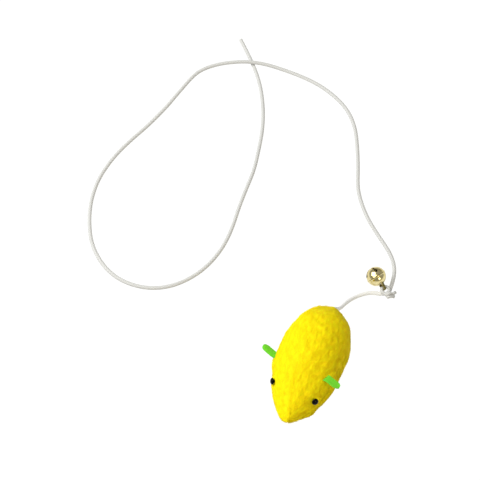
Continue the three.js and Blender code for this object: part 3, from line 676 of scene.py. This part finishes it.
# Of each panel: the angles of its two seams, its rows and columns, its seed, and whether its tail end is open
PANELS = {
    "left": (back_seam, belly_seam(rows, -1), rows, PANEL_COLUMNS, 11, True),
    "right": (back_seam, belly_seam(rows, 1) - 2 * np.pi, rows, PANEL_COLUMNS, 21, True),
    "belly": (belly_seam(belly_rows, -1), belly_seam(belly_rows, 1), belly_rows, BELLY_COLUMNS, 31, False),
}
sewn = {side: panel("plush_" + side, *facts) for side, facts in PANELS.items()}

# %% [markdown]
# ## Ears and eyes
# Each ear is a cut leaf of felt, 1 mm thick, whose root is sewn into a slit. The root goes straight in, and the
# leaf outside bends to the way it lies. Each eye is a domed bead on a shank. Both are placed on the body by a share
# of its length and an angle from the back seam.

# %% Ears
EAR_WIDTH, EAR_THICKNESS, EAR_CURL = 4.2, 0.95, 0.5
EAR_LENGTH, EAR_ROOT, EAR_BEND, EAR_SPACING = 7.0, 4.6, 0.8, 0.12
EAR_SIDES, WIDE_POWER, THIN_POWER, EDGE_THINNING, NARROWEST = 56, 0.7, 0.5, 0.25, 0.05
TIP_SHARE, TIP_CLOSE_SHARE, ROOT_CLOSE_SHARE = 0.2, 0.03, 0.02
FUZZ, FUZZ_SPAN = [(0.05, 0.5, 1.4), (0.03, 0.25, 0.5)], 0.2
ear_width_shares = [0.76, 0.78, 0.84, 0.92, 0.98, 1, 1, 1, 1, 1]
# Of each ear: its place, the way it points, the way its width runs, and its seed
EARS = {
    "left": ((0.472, 71), (-0.93, 0.35, 0.12), (0.3, 0.85, -0.38), 41),
    "right": ((0.42, -55), (0.93, -0.36, 0.03), (0.1, 0.9, -0.34), 51),
}
EYES = {"left": (0.335, 61), "right": (0.301, -64)}


def seat(spot):
    """Point of the body and outward direction at a place told by share and degrees."""
    along, degrees = np.array(spot[0]), BACK + np.radians(spot[1])
    return body_point(along, degrees), body_outward(along, degrees)


def ear(name, spot, points, across, seed):
    """A felt leaf: a rounded flat section carried along the ear's middle line. Its width follows a table and ends
    in a half circle, and its edges curl up by the square of the distance from the middle."""
    base, outward = seat(spot)
    lean = unit(np.array(points, float))
    bend = base + EAR_BEND * outward + EAR_BEND * lean
    root = [base - EAR_ROOT * outward, base - EAR_ROOT / 2 * outward, base]
    leaf = [bend, bend + EAR_LENGTH / 2 * lean, bend + (EAR_LENGTH - EAR_BEND) * lean]
    line = line_through(root + leaf, EAR_SPACING)
    share = np.linspace(0, 1, len(line))
    ahead = unit(np.gradient(line, axis=0))
    hint = np.array(across, float)
    sideways = unit(hint - ahead * (ahead @ hint)[:, None])
    face = np.cross(ahead, sideways)
    last = len(ear_width_shares) - 1
    tip = np.clip((share - (1 - TIP_SHARE)) / TIP_SHARE, 0, 1)
    half_width = EAR_WIDTH / 2 * np.interp(share * last, range(last + 1), ear_width_shares) * np.sqrt(1 - tip ** 2)
    half_width = np.maximum(half_width, NARROWEST)
    tip_close = np.clip((share - (1 - TIP_CLOSE_SHARE)) / TIP_CLOSE_SHARE, 0, 1)
    shrink = np.sqrt(1 - tip_close ** 2) * np.sqrt(1 - np.clip(1 - share / ROOT_CLOSE_SHARE, 0, 1) ** 2)
    angle = np.linspace(0, 2 * np.pi, EAR_SIDES + 1)
    u, v = bulge(np.cos(angle), WIDE_POWER), bulge(np.sin(angle), THIN_POWER)
    bow = EAR_CURL * share[:, None] * u ** 2
    flat = sideways[:, None] * (half_width * shrink)[:, None, None] * u[None, :, None]
    thick = EAR_THICKNESS / 2 * shrink[:, None] * (v * (1 - EDGE_THINNING * u ** 4)) + bow
    points = line[:, None] + flat + thick[..., None] * face[:, None]
    fuzz = layered(points, seed, FUZZ)
    middle = line[:, None] + bow[..., None] * face[:, None]
    points = points + unit(points - middle) * (fuzz * shrink[:, None])[..., None]
    points[:, -1] = points[:, 0]
    return mesh_object(name, grid(points, nap=fuzz / FUZZ_SPAN + 0.5))


felts = {side: ear("felt_" + side, *facts) for side, facts in EARS.items()}

# %% Eyes
EYE_RADIUS, EYE_HEIGHT, EYE_EDGE, EYE_GAP, EYE_BEVEL = 1.6, 1.1, 0.25, 0.5, 0.06
SHANK_RADIUS, SHANK_LENGTH, SHANK_ROUNDING = 0.6, 3.2, 0.05
LATHE_HINT = [0.31, 0.95, 0.12]
EYE_RINGS, EYE_STEPS, BELL_STEPS, PELLET_STEPS, TOOL_STEPS = 20, 64, 96, 48, 32


def lathe(profile, centre, axis, steps):
    """A profile of radius and height turned about an axis: each of its points becomes a ring."""
    axis = unit(np.array(axis, float))
    side = unit(np.cross(axis, LATHE_HINT))
    other = np.cross(axis, side)
    angle = np.linspace(0, 2 * np.pi, steps + 1)
    ring = circle(angle, side, other)
    ring[-1] = ring[0]
    profile = np.asarray(profile, float)
    points = centre + profile[:, :1, None] * ring[None] + profile[:, 1:, None] * axis
    uv = np.stack(np.broadcast_arrays(angle[None, :], profile[:, 1:]), -1)
    return grid(points, uv=uv)


def eye(name, spot):
    """A bead with a domed face and a rounded edge, on a straight shank."""
    base, outward = seat(spot)
    turn = np.linspace(0, np.pi / 2, EYE_RINGS)
    dome = np.stack([EYE_RADIUS * np.cos(turn), EYE_EDGE + (EYE_HEIGHT - EYE_EDGE) * np.sin(turn)], 1)
    under = [
        (0, -SHANK_LENGTH), (SHANK_RADIUS - SHANK_ROUNDING, -SHANK_LENGTH),
        (SHANK_RADIUS, SHANK_ROUNDING - SHANK_LENGTH), (SHANK_RADIUS, -SHANK_ROUNDING),
        (SHANK_RADIUS + SHANK_ROUNDING, 0), (EYE_RADIUS - 2 * EYE_BEVEL, 0),
        (EYE_RADIUS - EYE_BEVEL / 2, EYE_BEVEL),
    ]
    profile = np.vstack([under, dome])
    profile[-1, 0] = 0
    return mesh_object(name, lathe(profile, base + EYE_GAP * outward, outward, EYE_STEPS))


beads = {side: eye("bead_" + side, spot) for side, spot in EYES.items()}

# %% [markdown]
# ## What is inside
# Polyester fibre fills the body, and a hard knot inside it keeps the tail cord from pulling out. Neither shows, but
# both are real pieces of the toy. The filling leaves a pocket for the knot and dents for the ears' roots and the
# eyes' shanks.

# %% Filling
FILLING_DEPTH, FLUFF_ROOM, FILLING_FLOOR = 1.9, 0.2, 0.9
FLUFF, FLUFF_SEED, LOWEST_FLUFF = [(0.25, 2, 5)], 61, -0.15
FILLING_ROWS, FILLING_COLUMNS = 90, 120
DENT_DEPTH, DENT_PLACE, DENT_WIDTH = 3.4, 0.8, 1.8
ANCHOR_PLACE = np.array([0.0, 22.0, TAIL_HEIGHT])
POCKET_RADIUS, POCKET_HALF, CHANNEL_RADIUS, CHANNEL_LENGTH = 3.85, 2.0, 1.3, 12.0


def filling_sheet():
    """The smooth body, drawn in by the covers' thickness, less the swellings, plus dents and soft fluff."""
    share, turn = np.meshgrid(
        np.linspace(0, 1, FILLING_ROWS), np.linspace(0, 2 * np.pi, FILLING_COLUMNS + 1), indexing="ij")
    smooth, outward = body_point(share, turn), body_outward(share, turn)
    dents = np.zeros(smooth.shape[:2])
    for spot in [facts[0] for facts in EARS.values()] + list(EYES.values()):
        dents += DENT_DEPTH * fall_off(length_of(smooth - seat(spot)[0]) - DENT_PLACE, DENT_WIDTH)
    fluff = np.maximum(layered(smooth, FLUFF_SEED, FLUFF), LOWEST_FLUFF)
    depth = FILLING_DEPTH + dents + fluff + FLUFF_ROOM - swelling(smooth)
    closed = [0, -1]
    depth[closed] = depth[closed].mean(1, keepdims=True)
    outward[closed] = unit(outward[closed].mean(1, keepdims=True))
    points = smooth - outward * depth[..., None]
    points[:, -1] = points[:, 0]
    points[..., 2] = np.maximum(points[..., 2], FILLING_FLOOR)
    return grid(points)


fibre_filling = mesh_object("fibre_filling", filling_sheet())


def cut(thing, *tools):
    """Cuts closed tool meshes out of a piece, and removes the tools."""
    for tool in tools:
        modifier = thing.modifiers.new("cut", "BOOLEAN")
        modifier.object, modifier.operation, modifier.solver = tool, "DIFFERENCE", "EXACT"
    seen = bpy.context.evaluated_depsgraph_get()
    mesh = bpy.data.meshes.new_from_object(thing.evaluated_get(seen))
    thing.modifiers.clear()
    thing.data = mesh
    for tool in tools:
        bpy.data.objects.remove(tool)
    print(thing.name, "cut:", len(mesh.polygons), "faces")


def rod(name, radius, start, end):
    """A straight round tool between two points."""
    start, end = np.array(start, float), np.array(end, float)
    length = length_of(end - start)
    profile = [(0, 0), (radius, 0), (radius, length), (0, length)]
    return mesh_object(name, lathe(profile, start, end - start, TOOL_STEPS))


cut(
    fibre_filling,
    rod("pocket", POCKET_RADIUS, ANCHOR_PLACE - [0, POCKET_HALF, 0], ANCHOR_PLACE + [0, POCKET_HALF, 0]),
    rod("channel", CHANNEL_RADIUS, ANCHOR_PLACE, ANCHOR_PLACE + [0, CHANNEL_LENGTH, 0]),
)

# %% Anchor knot
ANCHOR_RADIUS, ANCHOR_STRAND, ANCHOR_TURNS, ANCHOR_WAVES = 1.9, 0.73, 2, 1.5
ANCHOR_STEPS, ANCHOR_EVERY = 400, 8
turn = np.linspace(0, 2 * np.pi * ANCHOR_TURNS, ANCHOR_STEPS)[::ANCHOR_EVERY]
ripple = 2 + np.cos(ANCHOR_WAVES * turn)
anchor_line = ANCHOR_PLACE + np.stack([
    ANCHOR_RADIUS / 2 * ripple * np.cos(turn),
    -ANCHOR_RADIUS / 2 * np.sin(ANCHOR_WAVES * turn),
    ANCHOR_RADIUS / 2 * ripple * np.sin(turn),
], 1)
anchor = mesh_object("anchor", tube(line_through(anchor_line, KNOT_SPACING), ANCHOR_STRAND, KNOT_SIDES))

# %% [markdown]
# ## The bell
# A jingle bell is two pressed shells of thin brass, crimped together at the rim. The cup below has two crossed slots
# with round ends, and the dome above has one slot, where a bent strip is pushed through and spread inside to make the
# loop. A steel pellet rolls inside. Shells are turned profiles, and the slots are cut with closed tools.

# %% Bell
BELL_RADIUS, BELL_WALL, BELL_RIM, BELL_ARM = 4.8, 0.4, 5.0, 6.4
RIM_GAP, RIM_TOP = 0.03, 0.62
INNER_STEPS, OUTER_STEPS = 40, 44
# Of the rim's crimp: how far each point lies inside the rim's radius, and its height
RIM_CRIMP = np.array([(0.1, 0.03), (0.02, 0.08), (0, 0.17), (0.01, 0.32), (0.07, 0.42), (0.16, 0.5)])
BELL_TILT = np.arcsin((LOOP_PLACE[2] - BELL_RIM) / BELL_ARM)
along_strand = knot_axes[1]
to_loop = np.append(np.cos(BELL_TILT) * knot_axes[0][:2], np.sin(BELL_TILT))
bell_axes = np.array([np.cross(along_strand, to_loop), along_strand, to_loop])
BELL_CENTRE = LOOP_PLACE - BELL_ARM * to_loop


def from_bell(points):
    """Points of the bell's frame, with its loop at +z, in the row's frame."""
    return np.asarray(points, float) @ bell_axes + BELL_CENTRE


def in_bell(sheet):
    """A sheet that is worked out in the bell's frame, moved to the bell's place."""
    return {**sheet, "points": from_bell(sheet["points"])}


def shell(side):
    """Profile of one shell: the inner curve from the pole down, the crimped rim, and the outer curve back up."""
    inner = BELL_RADIUS - BELL_WALL
    down = np.linspace(np.pi / 2, np.arcsin(RIM_GAP / inner), INNER_STEPS)
    up = np.linspace(np.arcsin(RIM_TOP / BELL_RADIUS), np.pi / 2, OUTER_STEPS)
    profile = np.vstack([arc(inner, down), [BELL_RIM, 0] + [-1, 1] * RIM_CRIMP, arc(BELL_RADIUS, up)])
    profile[[0, -1], 0] = 0
    return in_bell(lathe(profile * [1, side], np.zeros(3), [0, 0, 1], BELL_STEPS))


def block(name, low, high):
    """A box tool in the bell's frame, between two corners."""
    corners = np.array([[x, y, z] for z in (low[2], high[2]) for y in (low[1], high[1]) for x in (low[0], high[0])])
    faces = np.array([[0, 2, 3, 1], [4, 5, 7, 6], [0, 1, 5, 4], [2, 6, 7, 3], [0, 4, 6, 2], [1, 3, 7, 5]])
    sheet = {"points": from_bell(corners), "faces": faces, "uv": np.zeros((8, 2)), "values": {}}
    return mesh_object(name, sheet, merge=False)


SLOT_WIDTH, SLOT_REACH, SLOT_END, SLOT_TOP = 0.8, 4.08, 0.85, -1.2
LOOP_SLOT_HALF, LOOP_SLOT_WIDTH, LOOP_SLOT_FLOOR = 2.82, 2.0, 2.0
TOOL_REACH, DRILL_SHARES = 7.0, (0.5, 1.5)
SHARP_ANGLE = np.radians(32)
dome, cup = mesh_object("dome", shell(1)), mesh_object("cup", shell(-1))
half, loop_half = SLOT_WIDTH / 2, LOOP_SLOT_WIDTH / 2
cut(dome, block("slot", (-LOOP_SLOT_HALF, -loop_half, LOOP_SLOT_FLOOR), (LOOP_SLOT_HALF, loop_half, TOOL_REACH)))
tools = [
    block("slot_x", (-SLOT_REACH, -half, -TOOL_REACH), (SLOT_REACH, half, SLOT_TOP)),
    block("slot_y", (-half, -SLOT_REACH, -TOOL_REACH), (half, SLOT_REACH, SLOT_TOP)),
]
end_height = np.sqrt(BELL_RADIUS ** 2 - SLOT_REACH ** 2)
for across in ((1, 0), (-1, 0), (0, 1), (0, -1)):
    end = np.array([*across, 0.0]) * SLOT_REACH - [0, 0, end_height]
    tools.append(rod("drill", SLOT_END, *(from_bell(share * end) for share in DRILL_SHARES)))
cut(cup, *tools)
for thing in (dome, cup):
    thing.data.polygons.foreach_set("use_smooth", np.ones(len(thing.data.polygons), bool))
    thing.data.set_sharp_from_angle(angle=SHARP_ANGLE)

# %% Loop strip and pellet
STRIP_WIDTH, STRIP_THICKNESS, LOOP_RADIUS, STRIP_SPACING, STRIP_SOFTNESS = 1.4, 0.4, 1.4, 0.08, 0.2
STRIP_SIDES, ARCH_POINTS, FLAT_POWER, SIDE_POWER, END_SHRINK = 40, 9, 0.45, 0.6, 0.85
foot_shares = np.array([[0.62, 0.6], [0.57, 0.68], [0.5, 0.86]])
PELLET_RADIUS, PELLET_GAP, PELLET_RINGS, PELLET_AXIS = 1.2, 0.3, 25, (0.2, 0.4, 1)
PELLET_PITS, PITS_SEED, PITS_WAVES = 0.025, 71, (0.6, 1.6)


def strip_sheet():
    """A flat strip with rounded edges, carried up from one foot inside the dome, round the arch and down again."""
    foot = (BELL_RADIUS - BELL_WALL) * foot_shares
    arch = arc(LOOP_RADIUS, np.linspace(0, np.pi, ARCH_POINTS)) + [0, BELL_ARM]
    route = np.vstack([foot, arch, foot[::-1] * [-1, 1]])
    line = line_through(np.insert(route, 1, 0, axis=1), STRIP_SPACING, STRIP_SOFTNESS)
    face = np.cross(unit(np.gradient(line, axis=0)), [0.0, 1.0, 0.0])
    angle = np.linspace(0, 2 * np.pi, STRIP_SIDES + 1)
    u, v = bulge(np.cos(angle), FLAT_POWER), bulge(np.sin(angle), SIDE_POWER)
    shrink = np.ones(len(line))
    shrink[[0, -1]], shrink[[1, -2]] = 0, END_SHRINK
    section = u[:, None] * np.array([0, STRIP_WIDTH / 2, 0]) + v[:, None] * STRIP_THICKNESS / 2 * face[:, None]
    points = line[:, None] + section * shrink[:, None, None]
    points[:, -1] = points[:, 0]
    return grid(points)


def pellet_sheet():
    """A ball with shallow pits, a little above the bell's lowest point."""
    centre = BELL_CENTRE - [0, 0, BELL_RADIUS - BELL_WALL - PELLET_GAP - PELLET_RADIUS]
    ball = arc(PELLET_RADIUS, np.linspace(-np.pi / 2, np.pi / 2, PELLET_RINGS))
    ball[[0, -1], 0] = 0
    sheet = lathe(ball, centre, PELLET_AXIS, PELLET_STEPS)
    rough = 1 - PELLET_PITS * np.abs(waves(sheet["points"], PITS_SEED, *PITS_WAVES))
    sheet["points"] = centre + (sheet["points"] - centre) * rough[:, None]
    return sheet


strip = mesh_object("strip", in_bell(strip_sheet()))
pellet = mesh_object("pellet", pellet_sheet())

# %% [markdown]
# ## The pile
# Plush is a knitted cloth with short fibres that stand out of it and lean one way. The panels' relief shows its
# tufts, and real fibres give its soft outline. Each fibre is a thin spike of four faces. They are scattered evenly
# over a panel, lean towards the tail and down, and turn together in patches, which is what makes tufts.

# %% Pile
PILE_LENGTH, PILE_RADIUS, PILE_ROOT, PILE_CORNERS = 1.1, 0.075, 0.12, 3
PILE_FACTS = {"left": (45000, 101), "right": (45000, 111), "belly": (22500, 121)}
# Kept clear: round an eye, where the fibres also grow shorter, beside an ear's slit, and round the tail hole
EYE_OVERLAP, SHORT_REACH, SHORT_START, SHORTEST = 0.1, 1.6, 0.4, 0.25
SLIT_HALF, SLIT_CLEAR, HOLE_CLEAR = 1.8, 0.75, 1.35
# Waves of the swirl and of the clumps, and how much each of them and pure chance turns, tilts, lengthens or tints
SWIRL, CLUMPS = (2.2, 5.0), (1.3, 3.2, 1.8)
SWIRL_TURN, CHANCE_TURN, DOWNHILL_TURN, LEVEL_LIMIT = 0.55, 0.22, 0.35, 0.1
LEAN, CLUMP_LEAN, CHANCE_LEAN = 68, 8, 4
CLUMP_LENGTH, CHANCE_LENGTH, CLUMP_TONE, CHANCE_TONE, NORMAL_LEAN = 0.18, 0.12, 0.7, 0.12, 0.25


def scatter(face, outward, count, seed):
    """Places spread evenly over a face: cells are drawn by their area, and a place lies anywhere in its cell."""
    draw = np.random.default_rng(seed)
    a, b, c, d = face[:-1, :-1], face[:-1, 1:], face[1:, 1:], face[1:, :-1]
    area = length_of(np.cross(c - a, d - b)).ravel() / 2
    cell = draw.choice(len(area), count, p=area / area.sum())
    u, v = draw.random((2, count, 1))
    a, b, c, d = (corner.reshape(-1, 3)[cell] for corner in (a, b, c, d))
    spots = (1 - u) * (1 - v) * a + u * (1 - v) * b + u * v * c + (1 - u) * v * d
    return spots, unit(outward[:-1, :-1].reshape(-1, 3)[cell]), unit(d - a + c - b), draw


def pile(name, face, outward, count, seed):
    """Spikes on a face. Each has three points round its root and one at its tip, which leans by a common nap, by
    patches a few millimetres wide, and by a little of its own. None grows on an eye or through an ear."""
    spots, out, tailward, draw = scatter(face, outward, count, seed)
    clear = length_of(spots - TAIL_HOLE) > HOLE_CLEAR
    reach = np.full(count, 1.0)
    for spot in EYES.values():
        gap = length_of(spots - seat(spot)[0]) - EYE_RADIUS
        clear &= gap > -EYE_OVERLAP
        reach = np.minimum(reach, np.clip((gap + SHORT_START) / SHORT_REACH, SHORTEST, 1))
    for spot, _, across, _ in EARS.values():
        slit = unit(np.array(across, float))
        offset = spots - seat(spot)[0]
        run = np.clip(offset @ slit, -SLIT_HALF, SLIT_HALF)
        clear &= length_of(offset - run[:, None] * slit) > SLIT_CLEAR
    spots, out, tailward, reach = spots[clear], out[clear], tailward[clear], reach[clear]
    count = len(spots)
    sideways = np.cross(out, tailward)
    swirl = SWIRL_TURN * waves(spots, seed + 1, *SWIRL)[:, None] + CHANCE_TURN * draw.normal(size=(count, 1))
    downhill = np.where(sideways[:, 2:] > 0, -1, 1) * (np.abs(sideways[:, 2:]) > LEVEL_LIMIT)
    along_nap = unit(tailward + (DOWNHILL_TURN * downhill + swirl) * sideways)
    clump = waves(spots, seed + 2, *CLUMPS)
    lean = np.radians(LEAN + CLUMP_LEAN * clump + CHANCE_LEAN * draw.normal(size=count))[:, None]
    direction = np.cos(lean) * out + np.sin(lean) * along_nap
    length = PILE_LENGTH * reach * (1 + CLUMP_LENGTH * clump + CHANCE_LENGTH * draw.normal(size=count))
    side = unit(np.cross(direction, out))
    root = spots - PILE_ROOT * out
    turns = 2 * np.pi * np.arange(PILE_CORNERS) / PILE_CORNERS
    ring = root[:, None] + PILE_RADIUS * circle(turns, side[:, None], np.cross(side, direction)[:, None])
    tip = root + direction * length[:, None]
    points = np.concatenate([ring, tip[:, None]], 1)
    points[..., 2] = np.maximum(points[..., 2], FLOOR_GAP / 2)
    corner = np.array([[0, 2, 1], [0, 1, 3], [1, 2, 3], [2, 0, 3]])
    tone = 0.5 + CLUMP_TONE * clump + CHANCE_TONE * draw.normal(size=count)
    thing = mesh_object(name, {
        "points": points.reshape(-1, 3),
        "faces": (4 * np.arange(count)[:, None, None] + corner).reshape(-1, 3),
        "uv": np.zeros((4 * count, 2)),
        "values": {"tip": np.tile([0.0, 0.0, 0.0, 1.0], count), "tone": np.repeat(tone, 4)},
    }, merge=False)
    normals = unit(out + NORMAL_LEAN * direction)
    thing.data.normals_split_custom_set_from_vertices(np.repeat(normals, 4, axis=0))
    return thing


piles = {side: pile("pile_" + side, *sewn[side][1:], *facts) for side, facts in PILE_FACTS.items()}

# %% [markdown]
# ## Finishes
# Each finish starts from what the real stuff is. Patterns read Object coordinates, which are metres, so a scale of
# 1000 makes features about a millimetre wide.

# %% Steps that the finishes share
def noise(material, scale, stretch=None, **values):
    """Noise that reads Object coordinates, stretched along an axis by a scale under 1."""
    place = add(material, "TexCoord").outputs["Object"]
    if stretch:
        place = add(material, "Mapping", {"Scale": stretch}, {"Vector": place}).outputs[0]
    return add(material, "TexNoise", {"Scale": scale, **values}, {"Vector": place}).outputs[0]


def ramp(material, source, first, last, start=0.3, end=0.7):
    """Two colours, one up to the start of a value's range and the other from its end, with a blend between them."""
    return add(material, "ValToRGB", links={0: source}, stops=[(start, first), (end, last)]).outputs[0]


def bump(material, source, strength, distance):
    """Relief in the shading alone, from a height."""
    return add(material, "Bump", {"Strength": strength, "Distance": distance}, {"Height": source}).outputs[0]


def attribute(material, name):
    """A value that the mesh carries at its points."""
    return add(material, "Attribute", attribute_name=name).outputs["Fac"]


def rescaled(material, source, low, high):
    """A value from 0 to 1, brought between two others."""
    return add(material, "MapRange", {3: low, 4: high}, {0: source}).outputs[0]


def finished(material, values, **links):
    """Closes a material: one principled shader goes to the surface. An underscore stands for a socket's space."""
    links = {key.replace("_", " "): source for key, source in links.items()}
    shader = add(material, "BsdfPrincipled", values, links)
    add(material, "OutputMaterial", links={"Surface": shader.outputs[0]})
    return material


# %% Plush
# Weight of the tufts' noise against the nap in the plush's colour, a random tone with painted light and shade on it
TUFT_WEIGHT = 0.55


def plush_finish():
    """Polyester plush, knitted and sheared: bright yellow, matt, with a soft sheen at its edges. Tufts about 1.5 mm
    wide and 4 mm long, and the nap's relief, carry a random tone with painted light and shade on it: lighter where
    they stand up, and deeper in the ground between them."""
    material = empty_material("sheared polyester plush")
    tufts = noise(material, 650, stretch=(1, 0.4, 1), Detail=3.0, Roughness=0.6)
    shade = ramp(material, noise(material, 130), "#FAF8F0", "#FFFFFF")
    # Painted light and shade: the yellow turns lighter where the tufts' noise and the nap stand up, and deeper
    # between them.
    painted_tuft_shade = add(material, "Math", {1: TUFT_WEIGHT}, {0: tufts, 2: attribute(material, "nap")}, operation="MULTIPLY_ADD")
    yellow = ramp(material, painted_tuft_shade.outputs[0], "#FCDE06", "#FCEC0A", 0.35, 0.95)
    paint = add(material, "Mix", {0: 1.0}, {6: yellow, 7: shade}, data_type="RGBA", blend_type="MULTIPLY")
    return finished(material, {
        "Roughness": 0.9, "Sheen Weight": 0.04, "Sheen Roughness": 0.5, "Sheen Tint": colour("#FFEE40"),
        "Specular IOR Level": 0.08,
    }, Base_Color=paint.outputs[2], Normal=bump(material, tufts, 0.35, 0.0002))


def pile_finish():
    """The same fibres seen one by one: deeper at the root, where less light comes in, and lighter at the tip."""
    material = empty_material("plush fibre")
    tip = attribute(material, "tip")
    deep = ramp(material, tip, "#FCCE06", "#FCE208", 0.0, 0.8)
    light = ramp(material, tip, "#FCDE08", "#FCF00E", 0.0, 0.8)
    paint = add(material, "Mix", links={0: attribute(material, "tone"), 6: deep, 7: light}, data_type="RGBA")
    return finished(material, {"Roughness": 0.7, "Specular IOR Level": 0.08}, Base_Color=paint.outputs[2])


plush, fibre = plush_finish(), pile_finish()

# %% Felt, cord and filling
def felt_finish():
    """Needled felt, cut from a sheet: bright green, matt, with short matted fibres about 0.4 mm apart."""
    material = empty_material("needled felt")
    matted = noise(material, 2600, Detail=4.0, Roughness=0.65, Distortion=1.2)
    return finished(material, {
        "Roughness": 0.9, "Sheen Weight": 0.2, "Sheen Roughness": 0.5, "Sheen Tint": colour("#D8FFB0"),
        "Specular IOR Level": 0.2,
    }, Base_Color=ramp(material, matted, "#50B41A", "#76D030"), Normal=bump(material, matted, 0.5, 0.0001))


def cord_finish(name, valley, yarn_top):
    """Braided polyester over rubber: off-white, with painted shade in the valleys between the yarns."""
    material = empty_material(name)
    # Painted shade: the braid's valleys take the darker colour and its yarn tops the lighter one.
    braid_shade = ramp(material, attribute(material, "height"), valley, yarn_top, 0.1, 0.75)
    yarn = noise(material, 3500)
    return finished(material, {"Roughness": 0.55, "Sheen Weight": 0.05, "Specular IOR Level": 0.3},
                    Base_Color=braid_shade, Normal=bump(material, yarn, 0.3, 0.00005))


def filling_finish():
    """Polyester fibre filling: white and cloudy, with strands about a millimetre apart."""
    material = empty_material("polyester fibre")
    strands = noise(material, 900, Detail=5.0, Distortion=3.0)
    return finished(material, {"Roughness": 0.95, "Specular IOR Level": 0.2},
                    Base_Color=ramp(material, strands, "#D9D9D4", "#FAFAF7"),
                    Normal=bump(material, strands, 0.8, 0.0004))


felt, filling = felt_finish(), filling_finish()
cord = cord_finish("braided polyester", "#A0A09C", "#D2D2CE")
# The tail cord is the same braid painted lighter: painted light for its start, which lies in the body's shadow.
tail_painted_lighter = cord_finish("braid painted lighter", "#BEBEBA", "#EAEAE6")

# %% Bead, plated brass and steel
def bead_finish():
    """Moulded acrylic, black and glossy, with faint haze from handling."""
    material = empty_material("black acrylic")
    haze = noise(material, 1500, Detail=3.0)
    return finished(material, {"IOR": 1.49, "Specular IOR Level": 0.08},
                    Base_Color=ramp(material, haze, "#040404", "#0A0908"),
                    Roughness=rescaled(material, haze, 0.05, 0.12))


def metal_finish(name, dark, light, low, high, scale):
    """A bright plated or polished metal: slow clouds in its colour and gloss, from plating and handling."""
    material = empty_material(name)
    cloud = noise(material, scale, Detail=4.0)
    return finished(material, {"Metallic": 1.0}, Base_Color=ramp(material, cloud, dark, light),
                    Roughness=rescaled(material, cloud, low, high), Normal=bump(material, cloud, 0.06, 0.00003))


bead = bead_finish()
brass = metal_finish("pale gold plated brass", "#CEBC78", "#E6D9A8", 0.08, 0.2, 500)
# The loop strip is the bell's brass painted much darker: painted shade for the loop, which lies in shade beside the
# bell.
strip_brass_painted_dark = metal_finish("brass strip painted darker", "#7E7644", "#A89E68", 0.12, 0.25, 600)
steel = metal_finish("rolled steel", "#8E8B86", "#B5B2AC", 0.3, 0.5, 900)

# %% [markdown]
# ## Dressing the pieces
# Each piece gets its finish, the body that it moves with, and the imported nodes that it stands for.

# %% Dress
for side, node in (("left", "cover_left"), ("right", "cover_right"), ("belly", "belly_panel")):
    dress(sewn[side][0], "mouse", "plush", plush, node)
for side in piles:
    dress(piles[side], "mouse", "plush", fibre)
dress(fibre_filling, "mouse", "filling", filling, "stuffing")
for side in EARS:
    dress(felts[side], "mouse", "felt", felt, "ear_" + side)
for side in EYES:
    dress(beads[side], "mouse", "bead", bead, "eye_" + side)
dress(anchor, "mouse", "cord", cord, "tail_anchor_knot")
dress(tail, "mouse", "cord", tail_painted_lighter, "tail_cord")
dress(knot, "mouse", "cord", cord, "joining_knot")
dress(elastic, "mouse", "cord", cord, "elastic_cord")
dress(dome, "bell", "brass", brass, "bell_dome")
dress(cup, "bell", "brass", brass, "bell_cup")
dress(strip, "bell", "brass", strip_brass_painted_dark, "bell_loop")
dress(pellet, "pellet", "steel", steel, "bell_pellet")

# %% [markdown]
# ## Floor and light
# In the photograph the table is pure white and the toy casts no shadow on it, which is how small goods look on a lit
# opal table. So the floor glows a little. One large soft light stands at the picture's upper left and models the
# plush, a weaker and warmer one stands opposite, and an even grey all round keeps the shaded sides open.

# %% Floor
def floor_finish():
    """Opal acrylic, lit from below, with a very faint mottle, 20 mm wide: it glows white and shows no shadow."""
    material = empty_material("lit opal acrylic")
    mottle = noise(material, 50)
    return finished(material, {"Roughness": 0.8, "Specular IOR Level": 0.2, "Emission Strength": 1.03},
                    Base_Color=ramp(material, mottle, "#3A3A3A", "#3E3E3E"),
                    Emission_Color=ramp(material, mottle, "#FBFBFA", "#FFFFFE"))


FLOOR_HALF = 3000.0
corners = np.array([[(x * FLOOR_HALF, y * FLOOR_HALF, 0) for x in (-1, 1)] for y in (-1, 1)])
floor = mesh_object("floor", grid(corners), merge=False)
if floor.data.polygons[0].normal.z < 0:
    floor.data.flip_normals()
floor.data.materials.append(floor_finish())

# %% Light
LIGHT_AIM = np.array([-0.03, 0.05, 0.0])
WORLD_STRENGTH = 0.4


def soft_light(name, direction, distance, size, power, tint="#FFFFFF"):
    """A square light that looks at the toy: its own axes are built from the direction it stands in."""
    light = bpy.data.lights.new(name, "AREA")
    light.shape, light.size, light.energy = "SQUARE", size, power
    light.color = colour(tint)[:3]
    lamp = bpy.data.objects.new(name, light)
    back = unit(np.array(direction, float))
    right = unit(np.cross([0.0, 0.0, 1.0], back))
    lamp.matrix_world = posed(right, np.cross(back, right), back, LIGHT_AIM + back * distance)
    bpy.context.scene.collection.objects.link(lamp)


soft_light("key light", direction=(-0.56, -0.12, 0.82), distance=0.9, size=0.65, power=9.8)
soft_light("fill light", direction=(0.76, -0.4, 0.4), distance=1.2, size=0.3, power=2.75, tint="#FFEBC8")
world = bpy.data.worlds.new("studio")
world.use_nodes = True
background = world.node_tree.nodes["Background"].inputs
background["Color"].default_value = colour("#FFFFFF")
background["Strength"].default_value = WORLD_STRENGTH
bpy.context.scene.world = world
bpy.context.scene.view_settings.view_transform = "Standard"
